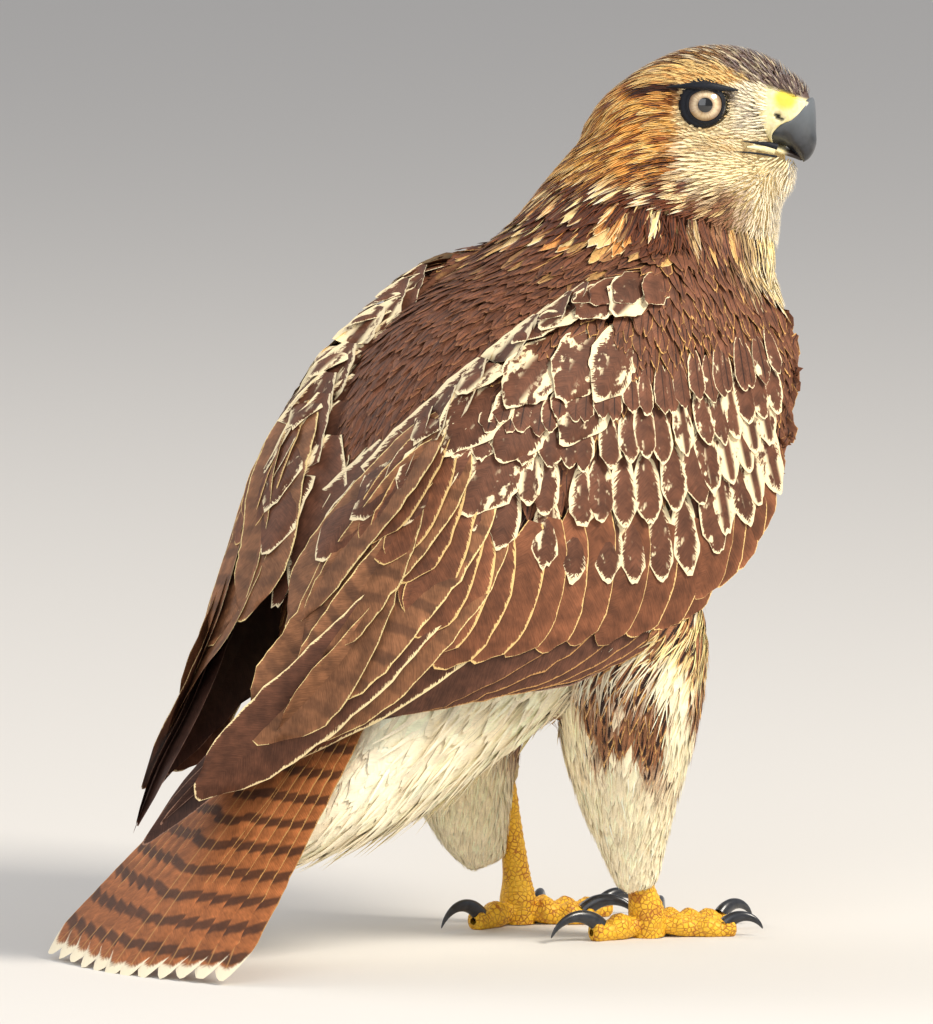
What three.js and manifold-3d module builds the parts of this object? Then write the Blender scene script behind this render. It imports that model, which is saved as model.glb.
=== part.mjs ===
// A red-tailed hawk standing and looking back over its right shoulder, life size, in millimetres.
// The bird faces +X, its left side is +Y, and the floor is z = 0.
// Shapes are lofts between rings. Pieces that meet keep a thin gap, because each is its own solid.

import * as THREE from 'three';
import { mergeVertices } from 'three/addons/utils/BufferGeometryUtils.js';
import Module from 'manifold-3d';

const wasm = await Module();
wasm.setup();

// Driving dimensions

const GAP = 0.3;
const BIG = 900;
const BODY_PITCH = THREE.MathUtils.degToRad(44);
const BODY_ORIGIN = new THREE.Vector3(0, 0, 300);
const HEAD_YAW = THREE.MathUtils.degToRad(-52);
const HEAD_CENTRE = new THREE.Vector3(66, -8, 387);
const EYE = { forward: 6.5, side: 16.5, up: 1.2, radius: 12.5 };
const FOOT = { right: new THREE.Vector3(8, -40, 0), left: new THREE.Vector3(-7, 37, 0) };
const TOE_FLAT = 0.6;
const TOE_ROOT = 5;
const KNUCKLE_SPACING = 13;
const CLAW_CLEARANCE = 0.5;
const CLAW_ARC = THREE.MathUtils.degToRad(112);
const CLAW_LEAN = THREE.MathUtils.degToRad(48);
const CLAW_OVERLAP = 3;

// Colours

const BROWN = 0x5b4030;
const RUFOUS = 0xa5622f;
const CREAM = 0xe9dcc0;
const BUFF = 0xc9a878;
const YELLOW = 0xe8b62c;
const HORN = 0x23262b;
const CERE_YELLOW = 0xdfd98a;
const IRIS = 0xe3d6ae;

// Smooth curves through a few keyed values

function curve(keys) {
  return (x) => {
    if (x <= keys[0][0]) return keys[0][1];
    const last = keys.length - 1;
    if (x >= keys[last][0]) return keys[last][1];
    let i = 0;
    while (x > keys[i + 1][0]) i += 1;
    const slope = (j) => {
      const a = Math.max(j - 1, 0);
      const b = Math.min(j + 1, last);
      return (keys[b][1] - keys[a][1]) / (keys[b][0] - keys[a][0]);
    };
    const span = keys[i + 1][0] - keys[i][0];
    const t = (x - keys[i][0]) / span;
    const t2 = t * t;
    const t3 = t2 * t;
    return (2 * t3 - 3 * t2 + 1) * keys[i][1] + (t3 - 2 * t2 + t) * span * slope(i)
      + (3 * t2 - 2 * t3) * keys[i + 1][1] + (t3 - t2) * span * slope(i + 1);
  };
}

function steps(from, to, count) {
  return Array.from({ length: count }, (_, i) => from + (to - from) * i / (count - 1));
}

function power(value, exponent) {
  return Math.sign(value) * Math.abs(value) ** exponent;
}

// Closed solids from rings of equal point counts

function loft(rings) {
  const count = rings[0].length;
  const positions = rings.flat().flatMap((p) => [p.x, p.y, p.z]);
  const index = [];
  for (let r = 0; r + 1 < rings.length; r += 1) {
    for (let i = 0; i < count; i += 1) {
      const a = r * count + i;
      const b = r * count + (i + 1) % count;
      index.push(a, b, b + count, a, b + count, a + count);
    }
  }
  const cap = (start, flip) => {
    for (let i = 0; i < count / 2 - 1; i += 1) {
      const quad = [i, i + 1, count - 2 - i, count - 1 - i];
      const faces = [[quad[0], quad[1], quad[2]], [quad[0], quad[2], quad[3]]];
      faces.filter((f) => new Set(f).size === 3).forEach((f) => {
        index.push(...(flip ? f.reverse() : f).map((k) => start + k));
      });
    }
  };
  cap(0, true);
  cap((rings.length - 1) * count, false);
  const geometry = new THREE.BufferGeometry();
  geometry.setAttribute('position', new THREE.Float32BufferAttribute(positions, 3));
  geometry.setIndex(index);
  return solid(geometry);
}

function solid(geometry) {
  const plain = geometry.clone();
  plain.deleteAttribute('normal');
  plain.deleteAttribute('uv');
  const merged = mergeVertices(plain, 1e-3);
  const kept = [];
  for (let i = 0; i < merged.index.count; i += 3) {
    const f = [0, 1, 2].map((k) => merged.index.getX(i + k));
    if (new Set(f).size === 3) kept.push(...f);
  }
  const vertices = new Float32Array(merged.attributes.position.array);
  if (signedVolume(vertices, kept) < 0) kept.reverse();
  return new wasm.Manifold(new wasm.Mesh({
    numProp: 3, vertProperties: vertices, triVerts: new Uint32Array(kept),
  }));
}

function signedVolume(v, index) {
  let sum = 0;
  for (let i = 0; i < index.length; i += 3) {
    const [a, b, c] = [0, 1, 2].map((k) => new THREE.Vector3().fromArray(v, 3 * index[i + k]));
    sum += a.dot(b.cross(c));
  }
  return sum;
}

// A ring in the plane of two axes: upward and downward heights may differ, as may the exponents

function ring(centre, side, up, size, sides, grow) {
  const points = [];
  for (let i = 0; i < sides; i += 1) {
    const angle = 2 * Math.PI * (i + 0.5) / sides;
    const n = size.power ?? 2;
    const across = power(Math.sin(angle), 2 / n) * (size.half + grow);
    const reach = Math.cos(angle) > 0 ? size.above : size.below;
    const along = power(Math.cos(angle), 2 / n) * (reach + grow);
    points.push(centre.clone().addScaledVector(side, across).addScaledVector(up, along));
  }
  return points;
}

// Rings along a path of keyed points, each key being x, y, z and radius

function limb(keys, sides, count, grow, squash = 1) {
  const at = [0, 1, 2, 3].map((k) => curve(keys.map((key, i) => [i, key[k]])));
  const last = keys.length - 1;
  const place = (t) => new THREE.Vector3(at[0](t), at[1](t), at[2](t));
  const rings = steps(0, last, count).map((t) => {
    const ahead = place(Math.min(t + 0.05, last)).sub(place(Math.max(t - 0.05, 0))).normalize();
    const side = new THREE.Vector3(0, 1, 0).cross(ahead).normalize();
    const up = ahead.clone().cross(side).normalize();
    const radius = at[3](t);
    const size = { half: radius * squash, above: radius, below: radius };
    return ring(place(t), side, up, size, sides, grow);
  });
  return loft(rings);
}

// Half space on the side that the normal points to, as a large box

function halfSpace(point, normal) {
  const box = new THREE.BoxGeometry(BIG, BIG, BIG);
  box.translate(0, 0, BIG / 2);
  const turn = new THREE.Quaternion().setFromUnitVectors(
    new THREE.Vector3(0, 0, 1), normal.clone().normalize());
  box.applyQuaternion(turn);
  box.translate(point.x, point.y, point.z);
  return solid(box);
}

function split(body, point, normal) {
  const unit = normal.clone().normalize();
  const front = halfSpace(point.clone().addScaledVector(unit, GAP / 2), unit);
  const back = halfSpace(point.clone().addScaledVector(unit, -GAP / 2), unit.clone().negate());
  return [body.intersect(front), body.intersect(back)];
}

function cut(body, ...others) {
  return others.reduce((rest, other) => rest.subtract(other), body);
}

function aboveFloor(body) {
  return body.intersect(halfSpace(new THREE.Vector3(0, 0, 0), new THREE.Vector3(0, 0, 1)));
}

// Body frame: s runs from the neck to the tail, y across, h towards the back

const ALONG = new THREE.Vector3(-Math.cos(BODY_PITCH), 0, -Math.sin(BODY_PITCH));
const DORSAL = new THREE.Vector3(-Math.sin(BODY_PITCH), 0, Math.cos(BODY_PITCH));
const ACROSS = new THREE.Vector3(0, 1, 0);

function bodyPoint(s, y, h) {
  return BODY_ORIGIN.clone().addScaledVector(ALONG, s).addScaledVector(ACROSS, y)
    .addScaledVector(DORSAL, h);
}

// Trunk, out to the tips of the body feathers

const backLine = curve([[-75, 20], [-50, 32], [-15, 39], [25, 46], [60, 56], [97, 58], [130, 53],
  [165, 40], [195, 20], [225, 2], [240, -12], [252, -28], [325, -33]]);
const bellyLine = curve([[-75, -76], [-60, -97], [-41, -109], [-6, -125], [36, -133], [75, -133],
  [121, -127], [173, -114], [205, -103], [243, -94], [285, -72], [312, -52], [325, -41]]);
const widestLine = curve([[-75, -26], [-30, -40], [60, -38], [160, -40], [240, -48], [325, -35]]);
const trunkHalfWidth = curve([[-75, 34], [-60, 49], [-30, 62], [10, 72], [60, 79], [110, 78],
  [160, 68], [205, 55], [245, 42], [285, 33], [312, 21], [325, 9]]);

function trunk(grow) {
  const rings = steps(-75, 325, 17).map((s) => {
    const level = widestLine(s);
    const size = {
      half: trunkHalfWidth(s), above: backLine(s) - level, below: level - bellyLine(s), power: 2.5,
    };
    return ring(bodyPoint(s, 0, level), ACROSS, DORSAL, size, 24, grow);
  });
  return loft(rings);
}

// Neck, from inside the trunk to inside the head, turning with the head as it rises.
// Each key is x, y, z, half length from nape to throat, half width and yaw.

const NECK_KEYS = [[6, 0, 262, 58, 58, -30], [27, -2, 300, 65, 62, -36], [39, -5, 326, 60.5, 53, -44],
  [49, -7, 346, 54, 45, -50], [57, -8, 362, 47, 37, -52], [62, -8, 376, 36, 29, -52]];

function neck(grow) {
  const at = [0, 1, 2, 3, 4, 5].map((k) => curve(NECK_KEYS.map((key, i) => [i, key[k]])));
  const rings = steps(0, NECK_KEYS.length - 1, 8).map((t) => {
    const yaw = THREE.MathUtils.degToRad(at[5](t));
    const centre = new THREE.Vector3(at[0](t), at[1](t), at[2](t));
    const ahead = new THREE.Vector3(Math.cos(yaw), Math.sin(yaw), -0.25).normalize();
    const side = new THREE.Vector3(-Math.sin(yaw), Math.cos(yaw), 0);
    const size = { half: at[4](t), above: at[3](t), below: at[3](t) };
    return ring(centre, side, ahead, size, 18, grow);
  });
  return loft(rings);
}

// Head, along its own forward axis, with the puffed throat

const FORWARD = new THREE.Vector3(Math.cos(HEAD_YAW), Math.sin(HEAD_YAW), 0);
const HEAD_LEFT = new THREE.Vector3(-Math.sin(HEAD_YAW), Math.cos(HEAD_YAW), 0);
const UP = new THREE.Vector3(0, 0, 1);

function headPoint(forward, left, up) {
  return HEAD_CENTRE.clone().addScaledVector(FORWARD, forward).addScaledVector(HEAD_LEFT, left)
    .addScaledVector(UP, up);
}

const crownLine = curve([[-55, -14], [-50, -3], [-42, 5], [-32, 13.5], [-21, 20], [-8, 25.8],
  [7, 28.2], [21, 27.4], [35, 23], [43, 17.5], [46, 13]]);
const throatLine = curve([[-55, -30], [-40, -40], [-20, -46], [0, -50], [20, -52], [34, -50],
  [42, -46], [46, -40]]);
const headHalfWidth = curve([[-55, 9], [-50, 17], [-40, 25], [-25, 30], [-8, 28.5], [8, 24.6],
  [20, 20.5], [32, 16], [40, 13], [46, 9]]);

function skull(grow) {
  const rings = steps(-55, 46, 13).map((t) => {
    const level = -6 - 0.12 * Math.abs(t);
    const size = {
      half: headHalfWidth(t), above: crownLine(t) - level, below: level - throatLine(t), power: 2.25,
    };
    return ring(headPoint(t, 0, level), HEAD_LEFT, UP, size, 18, grow);
  });
  return loft(rings);
}

function brow(side, grow) {
  const keys = [[-13, 25.2, 8.4, 1.6], [2, 24.9, 10.8, 3], [13, 23.0, 9.8, 3.6], [23, 17.0, 6.4, 2.6]]
    .map(([t, y, z, r]) => [...headPoint(t, side * y, z).toArray(), r]);
  return limb(keys, 6, 5, grow);
}

// Bill: rings on rays from a pivot at the corner of the mouth

const BILL_PIVOT = { forward: 38, up: -24 };
const BILL_ANGLES = { tip: -13, root: 104 };
const culmen = curve([[-13, 12.9], [-5, 15], [15, 18.7], [34, 21.8], [47, 26.3], [59, 32.5],
  [70, 38], [80, 40.5], [104, 41]]);
const tomium = curve([[-13, 12.3], [-6, 10.6], [4, 9], [16, 7.4], [40, 6.2], [80, 5.6], [104, 6]]);
const billHalfWidth = curve([[-13, 0.5], [-5, 2.6], [10, 5.2], [34, 7.6], [59, 9.4], [80, 10.6],
  [104, 12]]);
const CERE_EDGE_ANGLE = 60;
const LOWER_BILL_KEYS = [[34, -20, 9], [38, -20.8, 8.6], [42, -22, 7.2], [46, -23.4, 5],
  [49, -24.6, 1.8]];

function upperBill(grow) {
  const rings = steps(BILL_ANGLES.tip, BILL_ANGLES.root, 11).map((degrees) => {
    const angle = THREE.MathUtils.degToRad(degrees);
    const ray = FORWARD.clone().multiplyScalar(Math.cos(angle)).addScaledVector(UP, Math.sin(angle));
    const half = (culmen(degrees) - tomium(degrees)) / 2;
    const pivot = headPoint(BILL_PIVOT.forward, 0, BILL_PIVOT.up);
    const centre = pivot.addScaledVector(ray, tomium(degrees) + half);
    const size = { half: billHalfWidth(degrees), above: half, below: half };
    return ring(centre, HEAD_LEFT, ray, size, 12, grow);
  });
  return loft(rings);
}

function lowerBill(grow) {
  const rings = LOWER_BILL_KEYS.map(([t, z, half]) => {
    const size = { half, above: 1.5, below: 1.8 };
    return ring(headPoint(t, 0, z), HEAD_LEFT, UP, size, 10, grow);
  });
  return loft(rings);
}

function eyeball(side, grow) {
  const ball = new THREE.SphereGeometry(EYE.radius + grow, 12, 7);
  const centre = headPoint(EYE.forward, side * EYE.side, EYE.up);
  ball.translate(centre.x, centre.y, centre.z);
  return solid(ball);
}

// Folded wings: a curved plate from its top edge near the spine to its lower edge at the side.
// Outward distances are from the body's middle plane, and a negative one has crossed over it.

const WING = {
  right: {
    side: -1,
    end: 350,
    topOut: curve([[-50, 40], [-20, 56], [10, 62], [60, 58], [110, 50], [160, 34], [200, 12],
      [240, 4], [275, -2], [315, -14], [350, -24]]),
    wideOut: curve([[-50, 62], [-20, 76], [10, 84], [60, 93], [110, 95], [160, 91], [200, 81],
      [240, 63], [275, 40], [315, 12], [350, -18]]),
    lowOut: curve([[-50, 60], [-20, 75], [10, 80], [60, 88], [110, 88], [160, 84], [200, 72],
      [240, 48], [275, 18], [315, -5], [350, -20]]),
  },
  left: {
    side: 1,
    end: 345,
    topOut: curve([[-50, 40], [-20, 56], [10, 62], [60, 58], [110, 50], [160, 34], [200, 12],
      [240, 5], [275, 8], [315, 18], [345, 28]]),
    wideOut: curve([[-50, 62], [-20, 76], [10, 84], [60, 93], [110, 95], [160, 91], [200, 81],
      [240, 66], [275, 53], [315, 43], [345, 33]]),
    lowOut: curve([[-50, 60], [-20, 75], [10, 80], [60, 88], [110, 88], [160, 84], [200, 72],
      [240, 52], [275, 43], [315, 39], [345, 31]]),
  },
};
const wingTop = curve([[-50, -18], [-20, 14], [10, 32], [60, 47], [110, 54], [160, 49], [200, 39],
  [240, 28], [275, 21], [315, 13], [350, 1]]);
const wingLow = curve([[-50, -66], [-20, -84], [10, -96], [60, -105], [110, -97], [160, -70],
  [200, -42], [240, -24], [275, -16], [315, -8], [350, -2]]);
const wingThickness = curve([[-50, 7], [10, 17], [60, 19], [110, 17], [160, 13], [200, 10],
  [240, 8], [275, 6], [315, 4.5], [350, 2.5]]);
const WING_FULLNESS = 0.7;
const WING_EDGE = 1.2;

function wing(shape, grow) {
  const arcPoints = 9;
  const rings = steps(-50 - grow, shape.end + grow, 17).map((s) => {
    const top = [shape.topOut(s) - grow, wingTop(s) + grow];
    const low = [shape.lowOut(s) + grow, wingLow(s) - grow];
    const wide = [shape.wideOut(s) + grow, wingTop(s) + grow];
    const arc = new THREE.CubicBezierCurve(
      new THREE.Vector2(...top),
      new THREE.Vector2(top[0] + WING_FULLNESS * (wide[0] - top[0]), top[1]),
      new THREE.Vector2(wide[0], low[1] + WING_FULLNESS * (top[1] - low[1])),
      new THREE.Vector2(...low));
    const outer = [];
    const inner = [];
    for (const t of steps(0, 1, arcPoints)) {
      const p = arc.getPoint(t);
      const tangent = arc.getTangent(t);
      const depth = WING_EDGE + (wingThickness(s) - WING_EDGE) * Math.sin(Math.PI * t) ** 0.7;
      outer.push(bodyPoint(s, shape.side * p.x, p.y));
      const inward = p.clone().add(new THREE.Vector2(tangent.y, -tangent.x)
        .multiplyScalar(depth + 2 * grow));
      inner.push(bodyPoint(s, shape.side * inward.x, inward.y));
    }
    return [...outer, ...inner.reverse()];
  });
  return loft(rings);
}

// Tail: one slightly arched fan of overlapping feathers

const tailHalfWidth = curve([[185, 27], [240, 38], [300, 50], [360, 64], [388, 72], [400, 69],
  [408, 55]]);
const tailLine = curve([[185, -14], [240, -21], [300, -25], [360, -28], [408, -31]]);
const TAIL_ARCH = 5;
const TAIL_SWING = 13;
const TAIL_HALF_THICKNESS = curve([[185, 4], [240, 3], [360, 2], [408, 1.5]]);

function tail(grow) {
  const across = 6;
  const rings = steps(185, 408 + grow, 10).map((s) => {
    const half = tailHalfWidth(s) + grow;
    const thick = TAIL_HALF_THICKNESS(s) + grow;
    const top = [];
    const bottom = [];
    for (const u of steps(-1, 1, across)) {
      const edge = thick * (1 - 0.6 * u ** 4);
      const level = tailLine(s) - TAIL_ARCH * u * u;
      const y = u * half + TAIL_SWING * (s - 185) / 220;
      top.push(bodyPoint(s, y, level + edge));
      bottom.push(bodyPoint(s, y, level - edge));
    }
    return [...top, ...bottom.reverse()];
  });
  return loft(rings);
}

// Legs: feathered thighs, bare tarsi, toes and claws

const THIGH_KEYS = {
  right: [[-20, -50, 158, 42], [-15, -50, 128, 39.5], [-13, -49, 100, 34], [-10, -46.5, 70, 25],
    [-4, -43, 44, 16], [0, -41.5, 24, 9.5]],
  left: [[-40, 50, 158, 40], [-37, 50, 128, 38], [-35, 49, 100, 34], [-33, 47, 70, 26],
    [-28, 44, 46, 18], [-22, 41.5, 30, 10]],
};
const TARSUS_KEYS = {
  right: [[-6, -42, 60, 5.6], [-3, -41.5, 40, 5.8], [3, -40.5, 24, 7], [7, -40, 11, 9.4],
    [8, -40, -3, 8.6]],
  left: [[-20, 39, 92, 5.2], [-15, 38, 72, 5.6], [-11, 37.5, 46, 6], [-8, 37, 24, 7.2],
    [-7, 37, 11, 9.4], [-7, 37, -3, 8.6]],
};

function thigh(side, grow) {
  return limb(THIGH_KEYS[side], 12, 7, grow);
}

function tarsus(side, grow) {
  return limb(TARSUS_KEYS[side], 9, 6, grow, 0.9);
}

// Toe sizes: length to the claw's root, radius, claw chord, and heading from straight ahead,
// positive towards the bird's middle

const TOES = {
  hallux: { length: 30, radius: 5.8, claw: 27, heading: 172 },
  inner: { length: 35, radius: 5.7, claw: 25, heading: 42 },
  middle: { length: 52, radius: 5.4, claw: 21, heading: 5 },
  outer: { length: 40, radius: 5, claw: 17, heading: -36 },
};

function toeFrame(side, toe) {
  const inward = side === 'right' ? 1 : -1;
  const angle = THREE.MathUtils.degToRad(toe.heading) * inward;
  const ahead = new THREE.Vector3(Math.cos(angle), Math.sin(angle), 0);
  return { origin: FOOT[side], ahead };
}

function toePoint(frame, reach, z) {
  return frame.origin.clone().addScaledVector(frame.ahead, reach).setZ(z);
}

function toeSolid(side, toe, grow) {
  const frame = toeFrame(side, toe);
  const knuckles = Math.round(toe.length / KNUCKLE_SPACING);
  const rings = steps(0, 1, 7).map((t) => {
    const swell = 1 + 0.1 * Math.cos(2 * Math.PI * knuckles * t);
    const radius = toe.radius * swell * (1 - 0.22 * t ** 3);
    const lift = 0.92 * radius - TOE_FLAT + 4 * (1 - t) ** 3;
    const size = { half: radius, above: radius, below: radius };
    const reach = TOE_ROOT + (toe.length - TOE_ROOT) * t;
    return ring(toePoint(frame, reach, lift), UP.clone().cross(frame.ahead), UP, size, 8, grow);
  });
  return aboveFloor(loft(rings));
}

function clawSolid(side, toe, grow) {
  const frame = toeFrame(side, toe);
  const base = toe.radius * 0.72;
  const bend = toe.claw / (2 * Math.sin(CLAW_ARC / 2));
  const rootHeight = toe.radius + 0.8;
  const rings = steps(0, 1, 6).map((t) => {
    const turn = CLAW_LEAN - CLAW_ARC * t;
    const reach = bend * (Math.sin(CLAW_LEAN) - Math.sin(turn));
    const rise = bend * (Math.cos(turn) - Math.cos(CLAW_LEAN));
    const ahead = frame.ahead.clone().multiplyScalar(Math.cos(turn))
      .addScaledVector(UP, Math.sin(turn));
    const across = UP.clone().cross(frame.ahead);
    const up = ahead.clone().cross(across);
    const radius = base * (1 - t) ** 0.75 + 0.35;
    const size = { half: radius * 0.78, above: radius, below: radius };
    const z = Math.max(rootHeight + rise, radius + CLAW_CLEARANCE);
    return ring(toePoint(frame, toe.length - CLAW_OVERLAP + reach, z), across, up, size, 6, grow);
  });
  return loft(rings);
}

// Assembly. The trunk and the wings are divided at these places in the body frame.

const NECK_END = -32;
const CHEST_END = 150;
const BREAST_TOP = -28;
const BELLY_TOP = -40;
const COVERTS_END = 110;
const SECONDARIES_END = 232;
const THROAT_PLANE = { point: new THREE.Vector3(50, -5, 340), normal: new THREE.Vector3(0.25, -0.1, 0.96) };
const group = new THREE.Group();

function largest(body) {
  return body.decompose().sort((a, b) => b.volume() - a.volume())[0];
}

function add(name, body, color, roughness = 0.85) {
  const mesh = largest(body).getMesh();
  const geometry = new THREE.BufferGeometry();
  geometry.setAttribute('position', new THREE.BufferAttribute(mesh.vertProperties, 3));
  geometry.setIndex(new THREE.BufferAttribute(mesh.triVerts, 1));
  const material = new THREE.MeshStandardMaterial({ color, roughness, metalness: 0 });
  const node = new THREE.Mesh(geometry, material);
  node.name = name;
  group.add(node);
}

function addHead(core) {
  const eyes = ['right', 'left'].map((name) => ({ name, side: name === 'right' ? -1 : 1 }));
  const top = headPoint(BILL_PIVOT.forward, 0, BILL_PIVOT.up);
  const angle = THREE.MathUtils.degToRad(CERE_EDGE_ANGLE);
  const across = FORWARD.clone().multiplyScalar(Math.sin(angle)).addScaledVector(UP, -Math.cos(angle));
  const [horn, cere] = split(upperBill(0), top, across);
  add('head', cut(core, upperBill(GAP), lowerBill(GAP), ...eyes.map((e) => eyeball(e.side, GAP))), BUFF);
  add('cere', cere, CERE_YELLOW, 0.5);
  add('bill_upper', horn, HORN, 0.3);
  add('bill_lower', cut(lowerBill(0), upperBill(GAP)), HORN, 0.35);
  eyes.forEach((e) => add(`eye_${e.name}`, eyeball(e.side, 0), IRIS, 0.1));
}

function addTrunk(core) {
  const waist = bodyPoint(CHEST_END, 0, 0);
  const [rear, chest] = split(core, waist, ALONG);
  const [mantle, breast] = split(chest, bodyPoint(0, 0, BREAST_TOP), DORSAL);
  const [rump, vent] = split(rear, bodyPoint(0, 0, BELLY_TOP), DORSAL);
  add('mantle', mantle, BROWN);
  add('breast', breast, CREAM);
  add('rump', rump, BROWN);
  add('belly', vent, CREAM);
}

function addWing(name, body) {
  const [rest, shoulder] = split(body, bodyPoint(COVERTS_END, 0, 0), ALONG);
  const [tip, middle] = split(rest, bodyPoint(SECONDARIES_END, 0, 0), ALONG);
  add(`wing_${name}_coverts`, shoulder, BROWN);
  add(`wing_${name}_secondaries`, middle, BROWN);
  add(`wing_${name}_primaries`, tip, BROWN);
}

function addLeg(side, bodyGrown) {
  const toes = Object.entries(TOES);
  const grown = { toe: [] };
  toes.forEach(([name, toe]) => {
    add(`claw_${side}_${name}`, clawSolid(side, toe, 0), HORN, 0.3);
    const around = [clawSolid(side, toe, GAP), tarsus(side, GAP), ...grown.toe];
    add(`toe_${side}_${name}`, cut(toeSolid(side, toe, 0), ...around), YELLOW);
    grown.toe.push(toeSolid(side, toe, GAP));
  });
  add(`tarsus_${side}`, aboveFloor(cut(tarsus(side, 0), bodyGrown)), YELLOW);
  add(`thigh_${side}`, cut(thigh(side, 0), bodyGrown, tarsus(side, GAP)), CREAM);
}

const whole = trunk(0).add(neck(0)).add(skull(0)).add(brow(-1, 0)).add(brow(1, 0));
const wholeGrown = trunk(GAP).add(neck(GAP)).add(skull(GAP));
const [headCore, lower] = split(whole, THROAT_PLANE.point, THROAT_PLANE.normal);
const [neckCore, trunkCore] = split(lower, bodyPoint(NECK_END, 0, 0), ALONG.clone().negate());

addHead(headCore);
add('neck', neckCore, BROWN);
addTrunk(trunkCore);

const rightWing = cut(wing(WING.right, 0), wholeGrown);
addWing('right', rightWing);
addWing('left', cut(wing(WING.left, 0), wholeGrown, wing(WING.right, GAP)));
const wingsGrown = wing(WING.right, GAP).add(wing(WING.left, GAP));
add('tail', aboveFloor(cut(tail(0), wholeGrown, wingsGrown)), RUFOUS);

addLeg('right', wholeGrown.add(wingsGrown));
addLeg('left', wholeGrown.add(wingsGrown));

// The origin is under the middle of the model, on the floor

const middle = new THREE.Box3().setFromObject(group).getCenter(new THREE.Vector3());
group.position.set(-middle.x, -middle.y, 0);

export default group;
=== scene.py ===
# A red-tailed hawk standing and looking back over its right shoulder, life size.
# Shapes are worked out in millimetres in the bird's own frame: it faces +X, its left side is +Y,
# and the floor is z = 0. Every place is moved to the part's frame when a mesh is made.
# On the head, f is a place's distance forward, l to the left and u up. On the body and the wings,
# s runs from the shoulders to the tail, y to the left and h out of the back. On a vane, t runs
# from root to tip and u across it from -1 to 1.

import math
from functools import cache

import bpy
import numpy as np
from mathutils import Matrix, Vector
from mathutils.bvhtree import BVHTree


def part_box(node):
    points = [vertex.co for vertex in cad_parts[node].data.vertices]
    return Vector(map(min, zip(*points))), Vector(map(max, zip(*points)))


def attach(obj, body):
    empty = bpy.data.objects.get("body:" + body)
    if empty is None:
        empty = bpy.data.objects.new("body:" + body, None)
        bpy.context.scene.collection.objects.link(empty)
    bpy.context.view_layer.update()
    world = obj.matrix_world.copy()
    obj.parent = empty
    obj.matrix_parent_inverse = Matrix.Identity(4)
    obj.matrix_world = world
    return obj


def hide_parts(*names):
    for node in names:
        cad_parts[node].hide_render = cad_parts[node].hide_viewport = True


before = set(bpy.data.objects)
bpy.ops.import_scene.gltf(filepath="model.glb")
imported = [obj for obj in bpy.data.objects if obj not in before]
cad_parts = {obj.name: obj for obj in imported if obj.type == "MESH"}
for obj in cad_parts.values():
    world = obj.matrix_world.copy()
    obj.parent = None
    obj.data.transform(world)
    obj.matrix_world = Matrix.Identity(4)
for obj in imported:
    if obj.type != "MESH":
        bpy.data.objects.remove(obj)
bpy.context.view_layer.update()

MM = 0.001
SHELL_VOXEL = 0.0025
SKIN_VOXEL = 0.0022
FLANK_INSET = 11
BODY_PITCH = math.radians(44)
HEAD_YAW = math.radians(-52)
BODY_ORIGIN = np.array([0.0, 0.0, 300.0])
HEAD_CENTRE = np.array([66.0, -8.0, 387.0])
EYE = {"forward": 6.5, "side": 16.5, "up": 1.2, "radius": 12.5}
FOOT = {"right": np.array([8.0, -40.0, 0.0]), "left": np.array([-7.0, 37.0, 0.0])}
SIDES = {"right": -1, "left": 1}

# The width of a feather's patch on the skin's map, of which the whole is one

PATCH = 0.003
COVERT_PATCH = 0.008
LARGE_PATCH = 0.01

RING_RADIUS = 10.4
RING_OFFSET = 0.9

ALONG = np.array([-math.cos(BODY_PITCH), 0, -math.sin(BODY_PITCH)])
DORSAL = np.array([-math.sin(BODY_PITCH), 0, math.cos(BODY_PITCH)])
ACROSS = np.array([0.0, 1.0, 0.0])
FORWARD = np.array([math.cos(HEAD_YAW), math.sin(HEAD_YAW), 0])
HEAD_LEFT = np.array([-math.sin(HEAD_YAW), math.cos(HEAD_YAW), 0])
UP = np.array([0.0, 0.0, 1.0])
DOWN = -UP


# Numbers and vectors

def curve(*keys):
    """A smooth function through the keys, level beyond the first and the last."""
    x, y = np.array(keys, float).T
    last = len(x) - 1
    before = np.maximum(np.arange(len(x)) - 1, 0)
    after = np.minimum(np.arange(len(x)) + 1, last)
    slope = (y[after] - y[before]) / (x[after] - x[before])

    def at(v):
        v = np.clip(v, x[0], x[-1])
        i = np.clip(np.searchsorted(x, v, side="right") - 1, 0, last - 1)
        span = x[i + 1] - x[i]
        t = (v - x[i]) / span
        rise = 3 * t ** 2 - 2 * t ** 3
        lead = (t ** 3 - 2 * t ** 2 + t) * span * slope[i]
        tail = (t ** 3 - t ** 2) * span * slope[i + 1]
        return (1 - rise) * y[i] + rise * y[i + 1] + lead + tail
    return at


def smooth(v, low, high):
    """A soft step from nought at low to one at high."""
    t = np.clip((v - low) / (high - low), 0, 1)
    return t * t * (3 - 2 * t)


def bump(v, low, high, soft):
    """One between low and high, with soft shoulders outside them."""
    return smooth(v, low - soft, low) * (1 - smooth(v, high, high + soft))


def unit(v):
    return v / np.maximum(np.linalg.norm(v, axis=-1, keepdims=True), 1e-9)


def tangent(v, normal):
    """The direction of v along the surface that has this normal."""
    return unit(v - (v * normal).sum(-1, keepdims=True) * normal)


def dot(p, axis):
    return (p * axis).sum(-1)


def head_place(p):
    d = p - HEAD_CENTRE
    return dot(d, FORWARD), dot(d, HEAD_LEFT), dot(d, UP)


def body_place(p):
    d = p - BODY_ORIGIN
    return dot(d, ALONG), dot(d, ACROSS), dot(d, DORSAL)


def body_point(s, y, h):
    s, y, h = (np.asarray(v, float)[..., None] for v in (s, y, h))
    return BODY_ORIGIN + s * ALONG + y * ACROSS + h * DORSAL


def head_point(f, left, up):
    f, left, up = (np.asarray(v, float)[..., None] for v in (f, left, up))
    return HEAD_CENTRE + f * FORWARD + left * HEAD_LEFT + up * UP


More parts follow.
